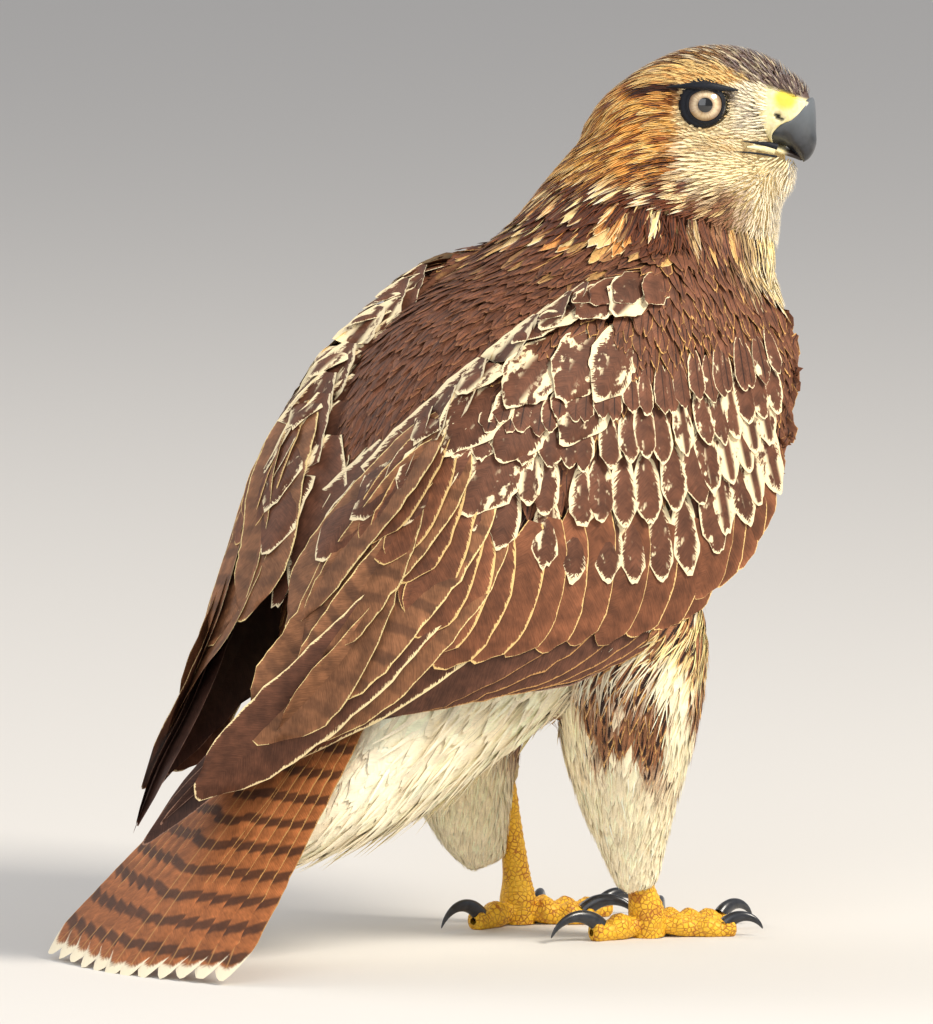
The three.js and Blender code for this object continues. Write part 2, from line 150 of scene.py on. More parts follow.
def wobble(p, size, seed=0):
    """A smooth random field between about -1 and 1, with lumps of a given size."""
    rng = np.random.default_rng(seed)
    total = 0
    for _ in range(5):
        wave = rng.normal(size=3)
        wave *= 2 * math.pi / (size * np.linalg.norm(wave) * rng.uniform(0.8, 1.5))
        total = total + np.sin(p @ wave + rng.uniform(0, 6.28))
    return total / 3


def rgb(text):
    """A colour in linear light from its usual six hexadecimal digits."""
    c = np.array([int(text[i:i + 2], 16) / 255 for i in (0, 2, 4)])
    return np.where(c <= 0.04045, c / 12.92, ((c + 0.055) / 1.055) ** 2.4)


low, high = (np.array(v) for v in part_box("eye_right"))
eye_place = head_point(EYE["forward"], -EYE["side"], EYE["up"])
SHIFT = (low + high) / 2 - eye_place * MM


def to_frame(p):
    return p * MM + SHIFT


def from_frame(p):
    return (p - SHIFT) / MM


BILL_ROOT = head_point(46, 0, -6)

# Colours of the plumage

DARK = rgb("2f1d17")
BROWN = rgb("734833")
UMBER = rgb("4c3127")
PURPLE = rgb("64493f")
RUSSET = rgb("7d4020")
TAN = rgb("9c6a47")
RUFOUS = rgb("a8643a")
ORANGE = rgb("dd8838")
GOLD = rgb("f3b254")
BUFF = rgb("dfae68")
CREAM = rgb("f8dc9a")
WHITE = rgb("fcefd0")
GREY = rgb("9d9290")
TAIL_RED = rgb("b0693a")


def blend(a, b, w):
    return a + (b - a) * np.asarray(w)[..., None]


# Meshes

def new_mesh(name, verts, faces, attributes=None, uv=None, smooth_faces=True):
    """A mesh from places in millimetres and equal-sided faces, with values at its vertices."""
    faces = np.asarray(faces, np.int32)
    mesh = bpy.data.meshes.new(name)
    mesh.vertices.add(len(verts))
    mesh.vertices.foreach_set("co", to_frame(np.asarray(verts, float)).astype(np.float32).ravel())
    corners = faces.shape[1]
    mesh.loops.add(faces.size)
    mesh.loops.foreach_set("vertex_index", faces.ravel())
    mesh.polygons.add(len(faces))
    mesh.polygons.foreach_set("loop_start", np.arange(0, faces.size, corners, dtype=np.int32))
    mesh.polygons.foreach_set("use_smooth", np.full(len(faces), smooth_faces))
    for key, values in (attributes or {}).items():
        values = np.asarray(values, np.float32)
        kind = {3: "FLOAT_VECTOR", 4: "FLOAT_COLOR"}[values.shape[1]]
        layer = mesh.attributes.new(key, kind, "POINT")
        layer.data.foreach_set("vector" if kind == "FLOAT_VECTOR" else "color", values.ravel())
    if uv is not None:
        layer = mesh.uv_layers.new(name="OFBake")
        layer.data.foreach_set("uv", np.asarray(uv, np.float32)[faces.ravel()].ravel())
    mesh.update(calc_edges=True)
    mesh.validate()
    return mesh


def new_piece(name, mesh, material, replaces=()):
    piece = bpy.data.objects.new(name, mesh)
    bpy.context.scene.collection.objects.link(piece)
    if material:
        mesh.materials.clear()
        mesh.materials.append(material)
    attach(piece, "root")
    if replaces:
        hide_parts(*replaces)
    return piece


def add_bare(name, solid, material, replaces=(), shape=None):
    """A piece without feathers, from its places and faces and the values that its material reads."""
    verts, faces = solid
    values = {} if shape is None else {"shape": shape}
    new_piece(name, new_mesh(name, verts, faces, values), material, replaces)


def strip_faces(rows, columns, closed=False):
    """Quads of one grid of rows by columns, joined round if closed."""
    r, c = np.meshgrid(np.arange(rows - 1), np.arange(columns if closed else columns - 1), indexing="ij")
    after = (c + 1) % columns
    quads = np.stack([r * columns + c, r * columns + after, (r + 1) * columns + after,
                      (r + 1) * columns + c], -1)
    return quads.reshape(-1, 4)


def loft(rings):
    """A closed tube from an array of rings, each of the same number of places."""
    rings = np.asarray(rings, float)
    rows, columns, _ = rings.shape
    caps = rings[[0, -1]].mean(1)
    verts = np.concatenate([rings.reshape(-1, 3), caps])
    faces = [strip_faces(rows, columns, True)]
    around = np.arange(columns)
    after = (around + 1) % columns
    for cap, start, flip in ((0, 0, True), (1, (rows - 1) * columns, False)):
        centre = np.full(columns, rows * columns + cap)
        fan = [centre, start + around, start + after, centre]
        faces.append(np.stack(fan[::-1] if flip else fan, -1))
    return verts, np.concatenate(faces)


def join(parts):
    verts, faces, start = [], [], 0
    for v, f in parts:
        verts.append(v)
        faces.append(f + start)
        start += len(v)
    return np.concatenate(verts), np.concatenate(faces)


# Surfaces made from the solids, which the skin and the feathers are laid on

def read_mesh(mesh):
    """The places and the triangles of a mesh, in metres of the part's frame."""
    mesh.calc_loop_triangles()
    places = np.zeros(len(mesh.vertices) * 3)
    mesh.vertices.foreach_get("co", places)
    tris = np.zeros(len(mesh.loop_triangles) * 3, np.int32)
    mesh.loop_triangles.foreach_get("vertices", tris)
    return places.reshape(-1, 3), tris.reshape(-1, 3)


def solids(names):
    return join([read_mesh(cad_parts[name].data) for name in names])


def fused(names, voxel, passes):
    """One smooth surface round the named solids, as places in millimetres and triangles."""
    verts, tris = solids(names)
    scratch = bpy.data.meshes.new("scratch")
    scratch.from_pydata(verts, [], tris)
    holder = bpy.data.objects.new("scratch", scratch)
    bpy.context.scene.collection.objects.link(holder)
    remesh = holder.modifiers.new("fuse", "REMESH")
    remesh.mode = "VOXEL"
    remesh.voxel_size = voxel
    relax = holder.modifiers.new("relax", "SMOOTH")
    relax.factor = 0.5
    relax.iterations = passes
    depsgraph = bpy.context.evaluated_depsgraph_get()
    made = bpy.data.meshes.new_from_object(holder.evaluated_get(depsgraph))
    verts, tris = read_mesh(made)
    bpy.data.objects.remove(holder)
    bpy.data.meshes.remove(scratch)
    bpy.data.meshes.remove(made)
    return from_frame(verts), tris


def vertex_normals(verts, tris):
    a, b, c = (verts[tris[:, k]] for k in range(3))
    face = np.cross(b - a, c - a)
    corners = tris.T.ravel()
    sums = [np.bincount(corners, np.tile(face[:, k], 3), len(verts)) for k in range(3)]
    return unit(np.stack(sums, 1))


def fill_hollows(verts, tris, weight, passes):
    """Moves places outwards to the mean of their neighbours, which fills hollows and keeps ridges."""
    start = tris.T.ravel()
    end = tris[:, [1, 2, 0]].T.ravel()
    count = np.maximum(np.bincount(start, minlength=len(verts)), 1)[:, None]
    for i in range(passes):
        if i % 4 == 0:
            normals = vertex_normals(verts, tris)
        total = np.stack([np.bincount(start, verts[end, k], len(verts)) for k in range(3)], 1)
        move = total / count - verts
        outwards = dot(move, normals) > 0
        verts = verts + move * (weight * outwards)[:, None]
    return verts


class Surface:
    """A smooth surface that places can be snapped to."""

    def __init__(self, verts, tris):
        self.verts = verts
        self.tris = tris
        self.normals = vertex_normals(verts, tris)
        self.tree = BVHTree.FromPolygons(verts.tolist(), tris.tolist())

    def snap(self, places):
        hits = [self.tree.find_nearest(Vector(p)) for p in places]
        at = np.array([h[0] for h in hits])
        tri = self.tris[[h[2] for h in hits]]
        return at, self.normal(at, tri)

    def normal(self, at, tri):
        a, b, c = (self.verts[tri[:, k]] for k in range(3))
        wa = np.linalg.norm(np.cross(b - at, c - at), axis=1)
        wb = np.linalg.norm(np.cross(c - at, a - at), axis=1)
        wc = np.linalg.norm(np.cross(a - at, b - at), axis=1)
        weights = np.stack([wa, wb, wc], 1) + 1e-9
        return unit((self.normals[tri] * weights[..., None]).sum(1))

    def scatter(self, keep, spacing, seed):
        """Places at least a spacing apart, where keep is above a random number."""
        rng = np.random.default_rng(seed)
        a, b, c = (self.verts[self.tris[:, k]] for k in range(3))
        middle = (a + b + c) / 3
        chance = keep(middle)
        area = np.linalg.norm(np.cross(b - a, c - a), axis=1) / 2 * (chance > 0)
        gap = spacing(middle) if callable(spacing) else np.full(len(middle), float(spacing))
        weight = area / gap ** 2
        tries = int(weight.sum() * 5)
        face = rng.choice(len(area), tries, p=weight / weight.sum())
        u, v = rng.random((2, tries))
        flip = u + v > 1
        u[flip], v[flip] = 1 - u[flip], 1 - v[flip]
        place = a[face] + u[:, None] * (b - a)[face] + v[:, None] * (c - a)[face]
        accept = rng.random(tries) < chance[face]
        return thin_out(place[accept], gap[face][accept], self.tris[face][accept], self)


def thin_out(places, gaps, tris, surface):
    """The places that are at least their gap away from all kept before them, and the normals there."""
    cell = gaps.max()
    grid = {}
    kept = []
    cells = np.floor(places / cell).astype(int)
    offsets = [(i, j, k) for i in (-1, 0, 1) for j in (-1, 0, 1) for k in (-1, 0, 1)]
    for i, (p, gap, key) in enumerate(zip(places.tolist(), gaps.tolist(), cells.tolist())):
        limit = gap * gap
        clear = True
        for o in offsets:
            for q in grid.get((key[0] + o[0], key[1] + o[1], key[2] + o[2]), ()):
                if (p[0] - q[0]) ** 2 + (p[1] - q[1]) ** 2 + (p[2] - q[2]) ** 2 < limit:
                    clear = False
                    break
            if not clear:
                break
        if clear:
            grid.setdefault(tuple(key), []).append(p)
            kept.append(i)
    at = places[kept]
    return at, surface.normal(at, tris[kept])


TRUNK = ["mantle", "breast", "rump", "belly"]
FLESH = ["head", "neck", *TRUNK, "thigh_right", "thigh_left"]
COVERTS = ["wing_right_coverts", "wing_left_coverts"]
WINGS = [f"wing_{side}_{part}" for side in SIDES for part in ("coverts", "secondaries", "primaries")]
EYES = ["eye_right", "eye_left"]


def shoulders(p):
    """One over the back and the shoulders, where the wings lie in the coat of the trunk."""
    s, _, h = body_place(p)
    return smooth(h, -55, -35) * bump(s, -35, 225, 15)


shell_verts, shell_tris = fused([*FLESH, *EYES, *WINGS, "cere"], SHELL_VOXEL, 8)
shell_verts = fill_hollows(shell_verts, shell_tris, shoulders(shell_verts), 120)
shell = Surface(shell_verts, shell_tris)
flesh = Surface(*fused([*FLESH, *EYES, *COVERTS], SKIN_VOXEL, 6))


def group_distance(names, places):
    """Distance in millimetres from places to the nearest of the named solids."""
    verts, tris = solids(names)
    tree = BVHTree.FromPolygons(from_frame(verts).tolist(), tris.tolist())
    return np.array([tree.find_nearest(Vector(p))[3] for p in places])


GROUPS = {
    "head": ["head", "cere"],
    "neck": ["neck"],
    "trunk": TRUNK,
    "thigh": ["thigh_right", "thigh_left"],
    "right": WINGS[:3],
    "left": WINGS[3:],
}


def part_finder(surface):
    """A mask of triangles for each group of solids, each triangle being in the group nearest to it."""
    middle = surface.verts[surface.tris].mean(1)
    distance = np.stack([group_distance(names, middle) for names in GROUPS.values()])
    nearest = distance.argmin(0)
    return {name: nearest == i for i, name in enumerate(GROUPS)}


shell_part = part_finder(shell)


def within(parts, test=None):
    """A keep function for scatter: only the shell's triangles of some parts, and of a test there."""
    def keep(places):
        mask = sum(shell_part[part].astype(float) for part in parts.split())
        return mask * test(places) if test else mask
    return keep


# Markings: the colours and patterns at any place, shared by the skin and the coat.
# Each feather's pattern is its edge's width, its dark streak's half width, its bars and its blotches.

def markings(p):
    f, l, u = head_place(p)
    s, y, h = body_place(p)
    jag = wobble(p, 9, 1)
    neck = smooth(p[..., 2] + 0.25 * p[..., 0] + 4 * jag, 290, 316)
    head = smooth(u - 0.22 * f + 3 * jag, -46, -38)
    look = mix_marks(trunk_marks(s, y, h, jag), neck_marks(p, f, l, jag), neck)
    look = mix_marks(look, head_marks(p, f, u, jag), head)
    return mix_marks(look, collar_marks(p), collar_weight(p, f, l, u))


def mix_marks(a, b, w):
    w = np.asarray(w)[..., None]
    return tuple(x + (y - x) * w for x, y in zip(a, b))


def paint(shape, layers, start):
    """Colours and pattern from a start, each layer being a weight, a colour, an edge and a pattern."""
    main = np.broadcast_to(start[0], shape + (3,)).astype(float)
    edge = np.broadcast_to(start[1], shape + (3,)).astype(float)
    marks = np.broadcast_to(np.array(start[2], float), shape + (4,))
    for weight, colour, rim, pattern in layers:
        main, edge, marks = mix_marks(
            (main, edge, marks), (colour, rim, np.array(pattern, float)), weight)
    return main, edge, marks


def flow_lines(p, seed):
    """Streaks about as wide as a feather and a few feathers long, which run back from the bill."""
    away = p - BILL_ROOT
    reach = np.linalg.norm(away, axis=-1, keepdims=True)
    lined = away / reach * (45 + 0.2 * reach)
    return wobble(lined, 4.2, seed)


CROWN_LINE = curve((-50, -4), (-38, 8), (-11, 20), (9, 20.5), (22, 16), (33, 9.5), (43, 4), (60, -4))


def head_marks(p, f, u, jag):
    jag2 = wobble(p, 5, 2)
    lines = flow_lines(p, 7)
    fine = flow_lines(p + 3.0, 8)
    dark_line = smooth(lines, 0.1, 0.34)
    pale_line = smooth(fine, 0.1, 0.35)
    behind = 1 - smooth(f + 2 * jag, -9, -1)
    crown = smooth(u - CROWN_LINE(f) + 1.5 * jag2, -1.0, 1.5)
    front = smooth(f + jag, 6, 22)
    arch = smooth(u + jag2, 9, 12) * (1 - crown)
    stripe = bump(u - 9.3 - 0.12 * (f + 10), -1.4, 1.4, 1.0) * bump(f, -26, -7, 5)
    malar = bump(u + 2 * jag2, -38, -22, 3) * bump(f + 3 * jag, -24, -5, 4)
    throat = smooth(f + 0.35 * u + 2 * jag, -9, -1) * (1 - smooth(u, -26, -21))
    under = throat * (1 - smooth(u + jag, -42, -32))
    lores = smooth(f, 17, 24) * smooth(u, -17, -9) * (1 - crown) * (1 - smooth(u, 10, 14))
    corner = bump(f, 17.5, 21, 1.5) * bump(u, 3, 8, 1.5)
    nape = 1 - smooth(f + 0.45 * u + 3 * jag, -52, -42)
    layers = [
        (behind, GOLD, CREAM, (0.14, 0.16, 0, 0)),
        (behind * smooth(wobble(p, 12, 9), -0.1, 0.5) * 0.7, ORANGE, GOLD, (0.14, 0.16, 0, 0)),
        (arch, blend(CREAM, GOLD, 0.55), CREAM, (0.12, 0.12, 0, 0)),
        ((1 - behind) * dark_line * 0.5 * (1 - arch), BUFF, CREAM, (0.12, 0.12, 0, 0)),
        (arch * dark_line * 0.5, ORANGE, GOLD, (0.12, 0.12, 0, 0)),
        (behind * dark_line * (0.95 - 0.75 * arch), RUSSET, ORANGE, (0.12, 0.25, 0, 0)),
        (stripe, DARK, RUSSET, (0.1, 0.2, 0, 0)),
        (nape, RUSSET, GOLD, (0.18, 0.3, 0, 0)),
        (nape * pale_line * 0.9, GOLD, CREAM, (0.18, 0.2, 0, 0)),
        (crown, blend(RUSSET, UMBER, 0.5), BUFF, (0.1, 0.2, 0, 0)),
        (crown * front, PURPLE, GREY, (0.1, 0.1, 0, 0)),
        (crown * pale_line * (0.7 - 0.2 * front), blend(CREAM, WHITE, 0.5), WHITE, (0.12, 0.1, 0, 0)),
        (lores, blend(WHITE, GREY, 0.08), WHITE, (0.1, 0.05, 0, 0)),
        (lores * smooth(lines, 0.25, 0.5) * 0.65, GREY, WHITE, (0.1, 0.1, 0, 0)),
        (corner * 0.85, DARK, GREY, (0.1, 0.1, 0, 0)),
        (malar * smooth(jag2 + lines, -0.6, 0.1), UMBER, ORANGE, (0.16, 0.3, 0, 0)),
        (throat, blend(CREAM, WHITE, 0.3), WHITE, (0.1, 0.04, 0, 0)),
        (under * 0.7, blend(CREAM, BUFF, 0.7), CREAM, (0.14, 0.1, 0, 0)),
    ]
    return paint(p.shape[:-1], layers, (blend(CREAM, WHITE, 0.35), WHITE, (0.12, 0.08, 0, 0)))


def collar_weight(p, f, l, u):
    """The ruffled band at the bottom of the head's sides and back."""
    side = np.arctan2(np.abs(l), f + 8)
    return bump(u + 3 * wobble(p, 9, 3), -58, -36, 6) * bump(side, 1.4, 2.5, 0.4)


def collar_marks(p):
    """Dark brown with long pale streaks, some of them orange."""
    squeezed = p - 0.72 * dot(p, ALONG)[..., None] * ALONG
    pale = smooth(wobble(squeezed, 5.5, 33), 0.12, 0.34)
    warm = smooth(wobble(p, 11, 34), -0.1, 0.3)
    layers = [
        (pale * 0.95, blend(CREAM, ORANGE, 0.15), WHITE, (0.25, 0, 0, 0)),
        (pale * warm * 0.8, ORANGE, CREAM, (0.3, 0.2, 0, 0)),
    ]
    return paint(p.shape[:-1], layers, (blend(UMBER, RUSSET, 0.3), RUSSET, (0.2, 0.3, 0, 0)))


def neck_marks(p, f, l, jag):
    side = np.arctan2(np.abs(l), f + 8)
    front = 1 - smooth(side + 0.12 * jag, 0.5, 1.05)
    thin = smooth(wobble(p, 5, 35), 0.55, 0.75)
    layers = [
        (thin * 0.8, BUFF, CREAM, (0.2, 0, 0, 0)),
        (front, CREAM, WHITE, (0.4, 0.6, 0, 0.1)),
    ]
    return paint(p.shape[:-1], layers, (BROWN, TAN, (0.2, 0.35, 0, 0)))


def trunk_marks(s, y, h, jag):
    drop = 13 * (1 - smooth(s, 70, 120))
    under = 1 - smooth(h + 3 * jag - 0.1 * s + drop, -42, -30)
    vest = under * smooth(np.abs(y) + 3 * jag, 26, 38) * (1 - smooth(s + 5 * jag, 4, 20))
    band = bump(s + 12 * jag, 62, 116, 14) * under
    chest = (1 - smooth(s, 10, 60)) * under
    vent = smooth(s + 8 * jag, 122, 145) * under
    rump = smooth(s, 180, 210) * (1 - under)
    layers = [
        (under, blend(WHITE, CREAM, 0.5), WHITE, (0.4, 0.35, 0, 0)),
        (chest, blend(CREAM, BUFF, 0.2), WHITE, (0.3, 0.45, 0, 0)),
        (vest, BROWN, BUFF, (0.35, 0.5, 0, 0)),
        (band, CREAM, WHITE, (0.6, 2.4, 0, 0.1)),
        (vent, WHITE, WHITE, (0.3, 0, 0, 0)),
        (rump, blend(BROWN, RUFOUS, 0.4), BUFF, (0.5, 0, 0.4, 0)),
    ]
    return paint(s.shape, layers, (BROWN, TAN, (0.25, 0.3, 0, 0)))


def thigh_marks(p):
    """Cream leg feathers with brown splotches near the top at the front."""
    blots = smooth(wobble(p, 30, 5) + 0.35 * wobble(p, 10, 6), -0.26, 0.0)
    upper = smooth(p[..., 2] + 0.3 * p[..., 0], 66, 86)
    fore = smooth(p[..., 0], -62, -46)
    layers = [(blots * upper * fore, blend(TAN, BROWN, 0.3), BUFF, (0.4, 0.8, 0, 0.1))]
    return paint(p.shape[:-1], layers, (blend(WHITE, CREAM, 0.2), WHITE, (0.3, 0.05, 0, 0)))


# Skin: one surface, inside the flesh solids by the depth of the coat

def flank_weight(p):
    """One where the flesh is a thin lip beside the front of a wing, which the skin stays clear of."""
    s, y, _ = body_place(p)
    return smooth(np.abs(y), 34, 52) * (1 - smooth(s, 140, 180)) * smooth(p[..., 2], 125, 150)


COAT_DEPTH = {"body": 4.5, "less_on_head": 2.7, "less_on_legs": 2.6, "more_beside_bill": 3.2}


def coat_depth(p):
    """Depth of the skin under the flesh solids: less on the head and legs, and more beside the bill."""
    f, _, u = head_place(p)
    z = p[..., 2]
    leg = 1 - smooth(z, 30, 90)
    depth = COAT_DEPTH["body"] - COAT_DEPTH["less_on_head"] * smooth(z, 315, 360)
    depth = depth - COAT_DEPTH["less_on_legs"] * leg
    bill = smooth(f, 32, 39) * (1 - smooth(u, 6, 15)) * smooth(u, -32, -26)
    depth = depth + COAT_DEPTH["more_beside_bill"] * bill
    return depth * (1 - 0.85 * flank_weight(p))


def leg_weight(p):
    s = body_place(p)[0]
    return (1 - smooth(p[..., 2], 112, 135)) * (1 - smooth(s, 215, 235))


def all_markings(p):
    return mix_marks(markings(p), thigh_marks(p), leg_weight(p))


def make_skin():
    depth = coat_depth(flesh.verts)
    verts = flesh.verts - flesh.normals * depth[:, None]
    inward = -np.sign(flesh.verts[:, 1:2]) * ACROSS
    verts = verts + FLANK_INSET * flank_weight(flesh.verts)[:, None] * inward
    main, edge, marks = all_markings(flesh.verts)
    half = np.clip(marks[:, :1] * 0.3, 0, 0.4)
    colour = main + (edge - main) * half
    one = np.ones((len(verts), 1))
    mesh = new_mesh("skin", verts, flesh.tris, {"main": np.hstack([colour, one])})
    piece = new_piece("skin", mesh, skin_material(), FLESH)
    relax = piece.modifiers.new("relax", "SMOOTH")
    relax.factor = 0.5
    relax.iterations = 4
    unwrap(piece)
    return piece


def unwrap(piece):
    """An unwrap of the piece's own shape, in the map named OFBake."""
    piece.data.uv_layers.new(name="OFBake")
    bpy.ops.object.select_all(action="DESELECT")
    piece.select_set(True)
    bpy.context.view_layer.objects.active = piece
    bpy.ops.object.mode_set(mode="EDIT")
    bpy.ops.mesh.select_all(action="SELECT")
    bpy.ops.uv.smart_project(angle_limit=math.radians(66), island_margin=0.002)
    bpy.ops.object.mode_set(mode="OBJECT")


class Roots:
    """Finds where a root lies on the skin's unwrap."""

    def __init__(self, skin):
        mesh = skin.data
        uv = np.zeros(len(mesh.loops) * 2)
        mesh.uv_layers["OFBake"].data.foreach_get("uv", uv)
        self.uv = uv.reshape(-1, 3, 2).mean(1)
        self.tree = flesh.tree

    def at(self, places):
        faces = [self.tree.find_nearest(Vector(p))[2] for p in places]
        return self.uv[faces]


# Materials

class Graph:
    """A material's nodes, added one by one with short calls."""

    def __init__(self, name):
        self.material = bpy.data.materials.new(name)
        self.material.use_nodes = True
        self.tree = self.material.node_tree
        self.tree.nodes.clear()

    def place(self):
        return self.node("ShaderNodeTexCoord").outputs["Object"]

    def node(self, kind, inputs=None, **settings):
        made = self.tree.nodes.new(kind)
        for key, value in settings.items():
            setattr(made, key, value)
        for key, value in (inputs or {}).items():
            self.put(value, made.inputs[key])
        return made

    def put(self, value, socket):
        if isinstance(value, bpy.types.NodeSocket):
            self.tree.links.new(value, socket)
        elif socket.type == "RGBA" and len(value) == 3:
            socket.default_value = (*value, 1)
        else:
            socket.default_value = value

    def math(self, operation, *values):
        made = self.node("ShaderNodeMath", dict(enumerate(values)), operation=operation)
        return made.outputs[0]

    def times(self, *values):
        total = values[0]
        for value in values[1:]:
            total = self.math("MULTIPLY", total, value)
        return total

    def ramp(self, value, low, high, to_low=0.0, to_high=1.0):
        inputs = {0: value, 1: low, 2: high, 3: to_low, 4: to_high}
        return self.node("ShaderNodeMapRange", inputs, interpolation_type="SMOOTHSTEP").outputs[0]

    def mix(self, factor, a, b):
        made = self.node("ShaderNodeMix", data_type="RGBA")
        self.put(factor, made.inputs[0])
        self.put(a, made.inputs[6])
        self.put(b, made.inputs[7])
        return made.outputs[2]

    def attribute(self, name):
        return self.node("ShaderNodeAttribute", attribute_name=name)

    def colour(self, name):
        return self.attribute(name).outputs["Color"]

    def values(self, name):
        """The three numbers of an attribute."""
        vector = self.attribute(name).outputs["Vector"]
        return self.node("ShaderNodeSeparateXYZ", {0: vector}).outputs

    def scale(self, colour, factor):
        tone = self.node("ShaderNodeVectorMath", {0: colour}, operation="SCALE")
        self.put(factor, tone.inputs["Scale"])
        return tone.outputs[0]

    def join(self, x, y, z):
        return self.node("ShaderNodeCombineXYZ", {0: x, 1: y, 2: z}).outputs[0]

    def noise(self, vector, scale, detail=2.0, rough=0.5):
        inputs = {"Vector": vector, "Scale": scale, "Detail": detail, "Roughness": rough}
        return self.node("ShaderNodeTexNoise", inputs).outputs[0]

    def finish(self, colour, height=None, distance=0.0003, strength=0.5, **values):
        shader = self.node("ShaderNodeBsdfPrincipled", {"Base Color": colour})
        for key, value in values.items():
            self.put(value, shader.inputs[key.replace("_", " ").title().replace("Ior", "IOR")])
        if height is not None:
            inputs = {"Height": height, "Distance": distance, "Strength": strength}
            rough = self.node("ShaderNodeBump", inputs)
            self.tree.links.new(rough.outputs[0], shader.inputs["Normal"])
        out = self.node("ShaderNodeOutputMaterial")
        self.tree.links.new(shader.outputs[0], out.inputs[0])
        return self.material


def feather_material(name="feather", bar_spacing=15.0, margin_scale=1.0, tip=0.0, shaft=0.0):
    """Colours of a vane. A tip above nought gives pale ends, and a shaft above nought a pale quill."""
    g = Graph(name)
    across, along, seed = g.values("local")
    t, u, rim = g.values("shape")
    main, edge = g.colour("main"), g.colour("edge")
    marks = g.attribute("marks")
    parts = g.node("ShaderNodeSeparateColor", {0: marks.outputs["Color"]})
    edge_width, streak_width, bars = parts.outputs
    blotch = marks.outputs["Alpha"]

    out = g.math("ABSOLUTE", across)
    sweep = g.math("SUBTRACT", along, g.times(out, 0.9))
    barbs = g.noise(g.join(g.times(sweep, 1.6), g.times(out, 0.22), seed), 1.0, 3.0, 0.6)
    lumps = g.noise(g.join(across, along, seed), 0.16, 2.0)
    mottle = g.noise(g.place(), 110.0, 3.0, 0.6)

    shade = g.times(g.ramp(barbs, 0.25, 0.75, 0.72, 1.24), g.ramp(lumps, 0.3, 0.7, 0.82, 1.14),
                    g.ramp(mottle, 0.32, 0.68, 0.8, 1.16), g.ramp(rim, 0.4, 5.0, 1.1, 0.84))
    light = g.node("ShaderNodeRGBToBW", {0: main}).outputs[0]
    contrast = g.ramp(light, 0.3, 0.75, 1.0, 0.4)
    shade = g.math("MULTIPLY_ADD", g.math("SUBTRACT", shade, 1.0), contrast, 1.0)
    colour = g.scale(main, shade)

    phase = g.math("ADD", along, g.times(out, 0.3))
    phase = g.math("ADD", phase, g.times(lumps, 3.0))
    wave = g.math("SINE", g.times(phase, 2 * math.pi / bar_spacing))
    barred = g.times(g.ramp(wave, 0.0, 0.8), bars, g.ramp(barbs, 0.1, 0.5, 0.6, 1.0))
    colour = g.mix(barred, colour, DARK)

    spots = g.noise(g.join(g.times(across, 1.6), along, g.times(seed, 3.1)), 0.13, 3.0, 0.6)
    limit = g.math("SUBTRACT", 0.78, g.times(blotch, 0.42))
    spot = g.times(g.ramp(g.math("SUBTRACT", spots, limit), -0.04, 0.05), g.ramp(blotch, 0.02, 0.2),
                   g.ramp(g.math("ABSOLUTE", u), 0.15, 0.5))
    colour = g.mix(spot, colour, edge)

    reach = g.times(streak_width, g.ramp(barbs, 0.2, 0.8, 0.4, 1.5))
    streak = g.times(g.ramp(g.math("SUBTRACT", reach, out), -0.15, 0.15), g.ramp(t, 0.98, 0.8, 0.0, 1.0),
                     g.ramp(streak_width, 0.02, 0.1))
    colour = g.mix(streak, colour, DARK)
    if shaft:
        colour = g.mix(g.ramp(out, 0.25, 0.6, shaft, 0.0), colour, edge)

    margin = g.times(edge_width, g.ramp(barbs, 0.25, 0.75, 0.35 * margin_scale, 1.6 * margin_scale),
                     g.ramp(lumps, 0.35, 0.65, 0.7, 1.25), g.ramp(u, -1.0, 1.0, 0.75, 1.3))
    margin = g.ramp(g.math("SUBTRACT", margin, rim), -0.2, 0.2)
    colour = g.mix(g.times(margin, g.ramp(edge_width, 0.02, 0.12)), colour, edge)
    if tip:
        frayed = g.math("ADD", t, g.times(barbs, 0.02))
        colour = g.mix(g.ramp(frayed, 1 - tip, 1.015 - tip), colour, WHITE)
    return g.finish(colour, barbs, 0.0004, 0.35, roughness=0.62, specular_ior_level=0.25)


def skin_material():
    g = Graph("skin")
    grain = g.noise(g.place(), 900.0, 3.0)
    colour = g.scale(g.colour("main"), g.ramp(grain, 0.2, 0.8, 0.5, 0.95))
    return g.finish(colour, grain, 0.0006, 0.6, roughness=0.8, specular_ior_level=0.2)


@cache
def horn_material(name):
    """Dark glossy horn, paler where the value on its vertices says so."""
    g = Graph(name)
    streaks = g.noise(g.place(), 260.0, 3.0)
    colour = g.mix(g.ramp(streaks, 0.3, 0.7), rgb("15161a"), rgb("2c2e34"))
    colour = g.mix(g.values("shape")[0], colour, rgb("7d848a"))
    return g.finish(colour, streaks, 0.0002, 0.15, roughness=0.3, specular_ior_level=0.5,
                    coat_weight=0.3, coat_roughness=0.15)


@cache
def cere_material():
    """Pale skin with a bright yellow patch, near black in the nostril as painted shade, and grey brown as
    painted shade where the forehead's feathers lie over the cere. On the lower bill the same two colours
    make its dark tip, which is its own colour.
    """
    g = Graph("cere_skin")
    grain = g.noise(g.place(), 500.0, 3.0)
    pit, bright, dull = g.values("shape")
    colour = g.mix(g.ramp(grain, 0.3, 0.75), rgb("f1e2a6"), rgb("faf0c8"))
    colour = g.mix(g.times(bright, 0.9), colour, rgb("f5dc3c"))
    # Grey brown where the forehead's feathers lie over the cere, along its ridge: painted shade under the
    # feathers. On the lower bill this darkens the tip, which is its own colour.
    colour = g.mix(dull, colour, rgb("5d4a44"))
    # Near black in the nostril: painted shade in the hole. On the lower bill this darkens the tip further,
    # which is its own colour.
    colour = g.mix(pit, colour, rgb("15110f"))
    return g.finish(colour, grain, 0.0003, 0.4, roughness=0.45, specular_ior_level=0.4)


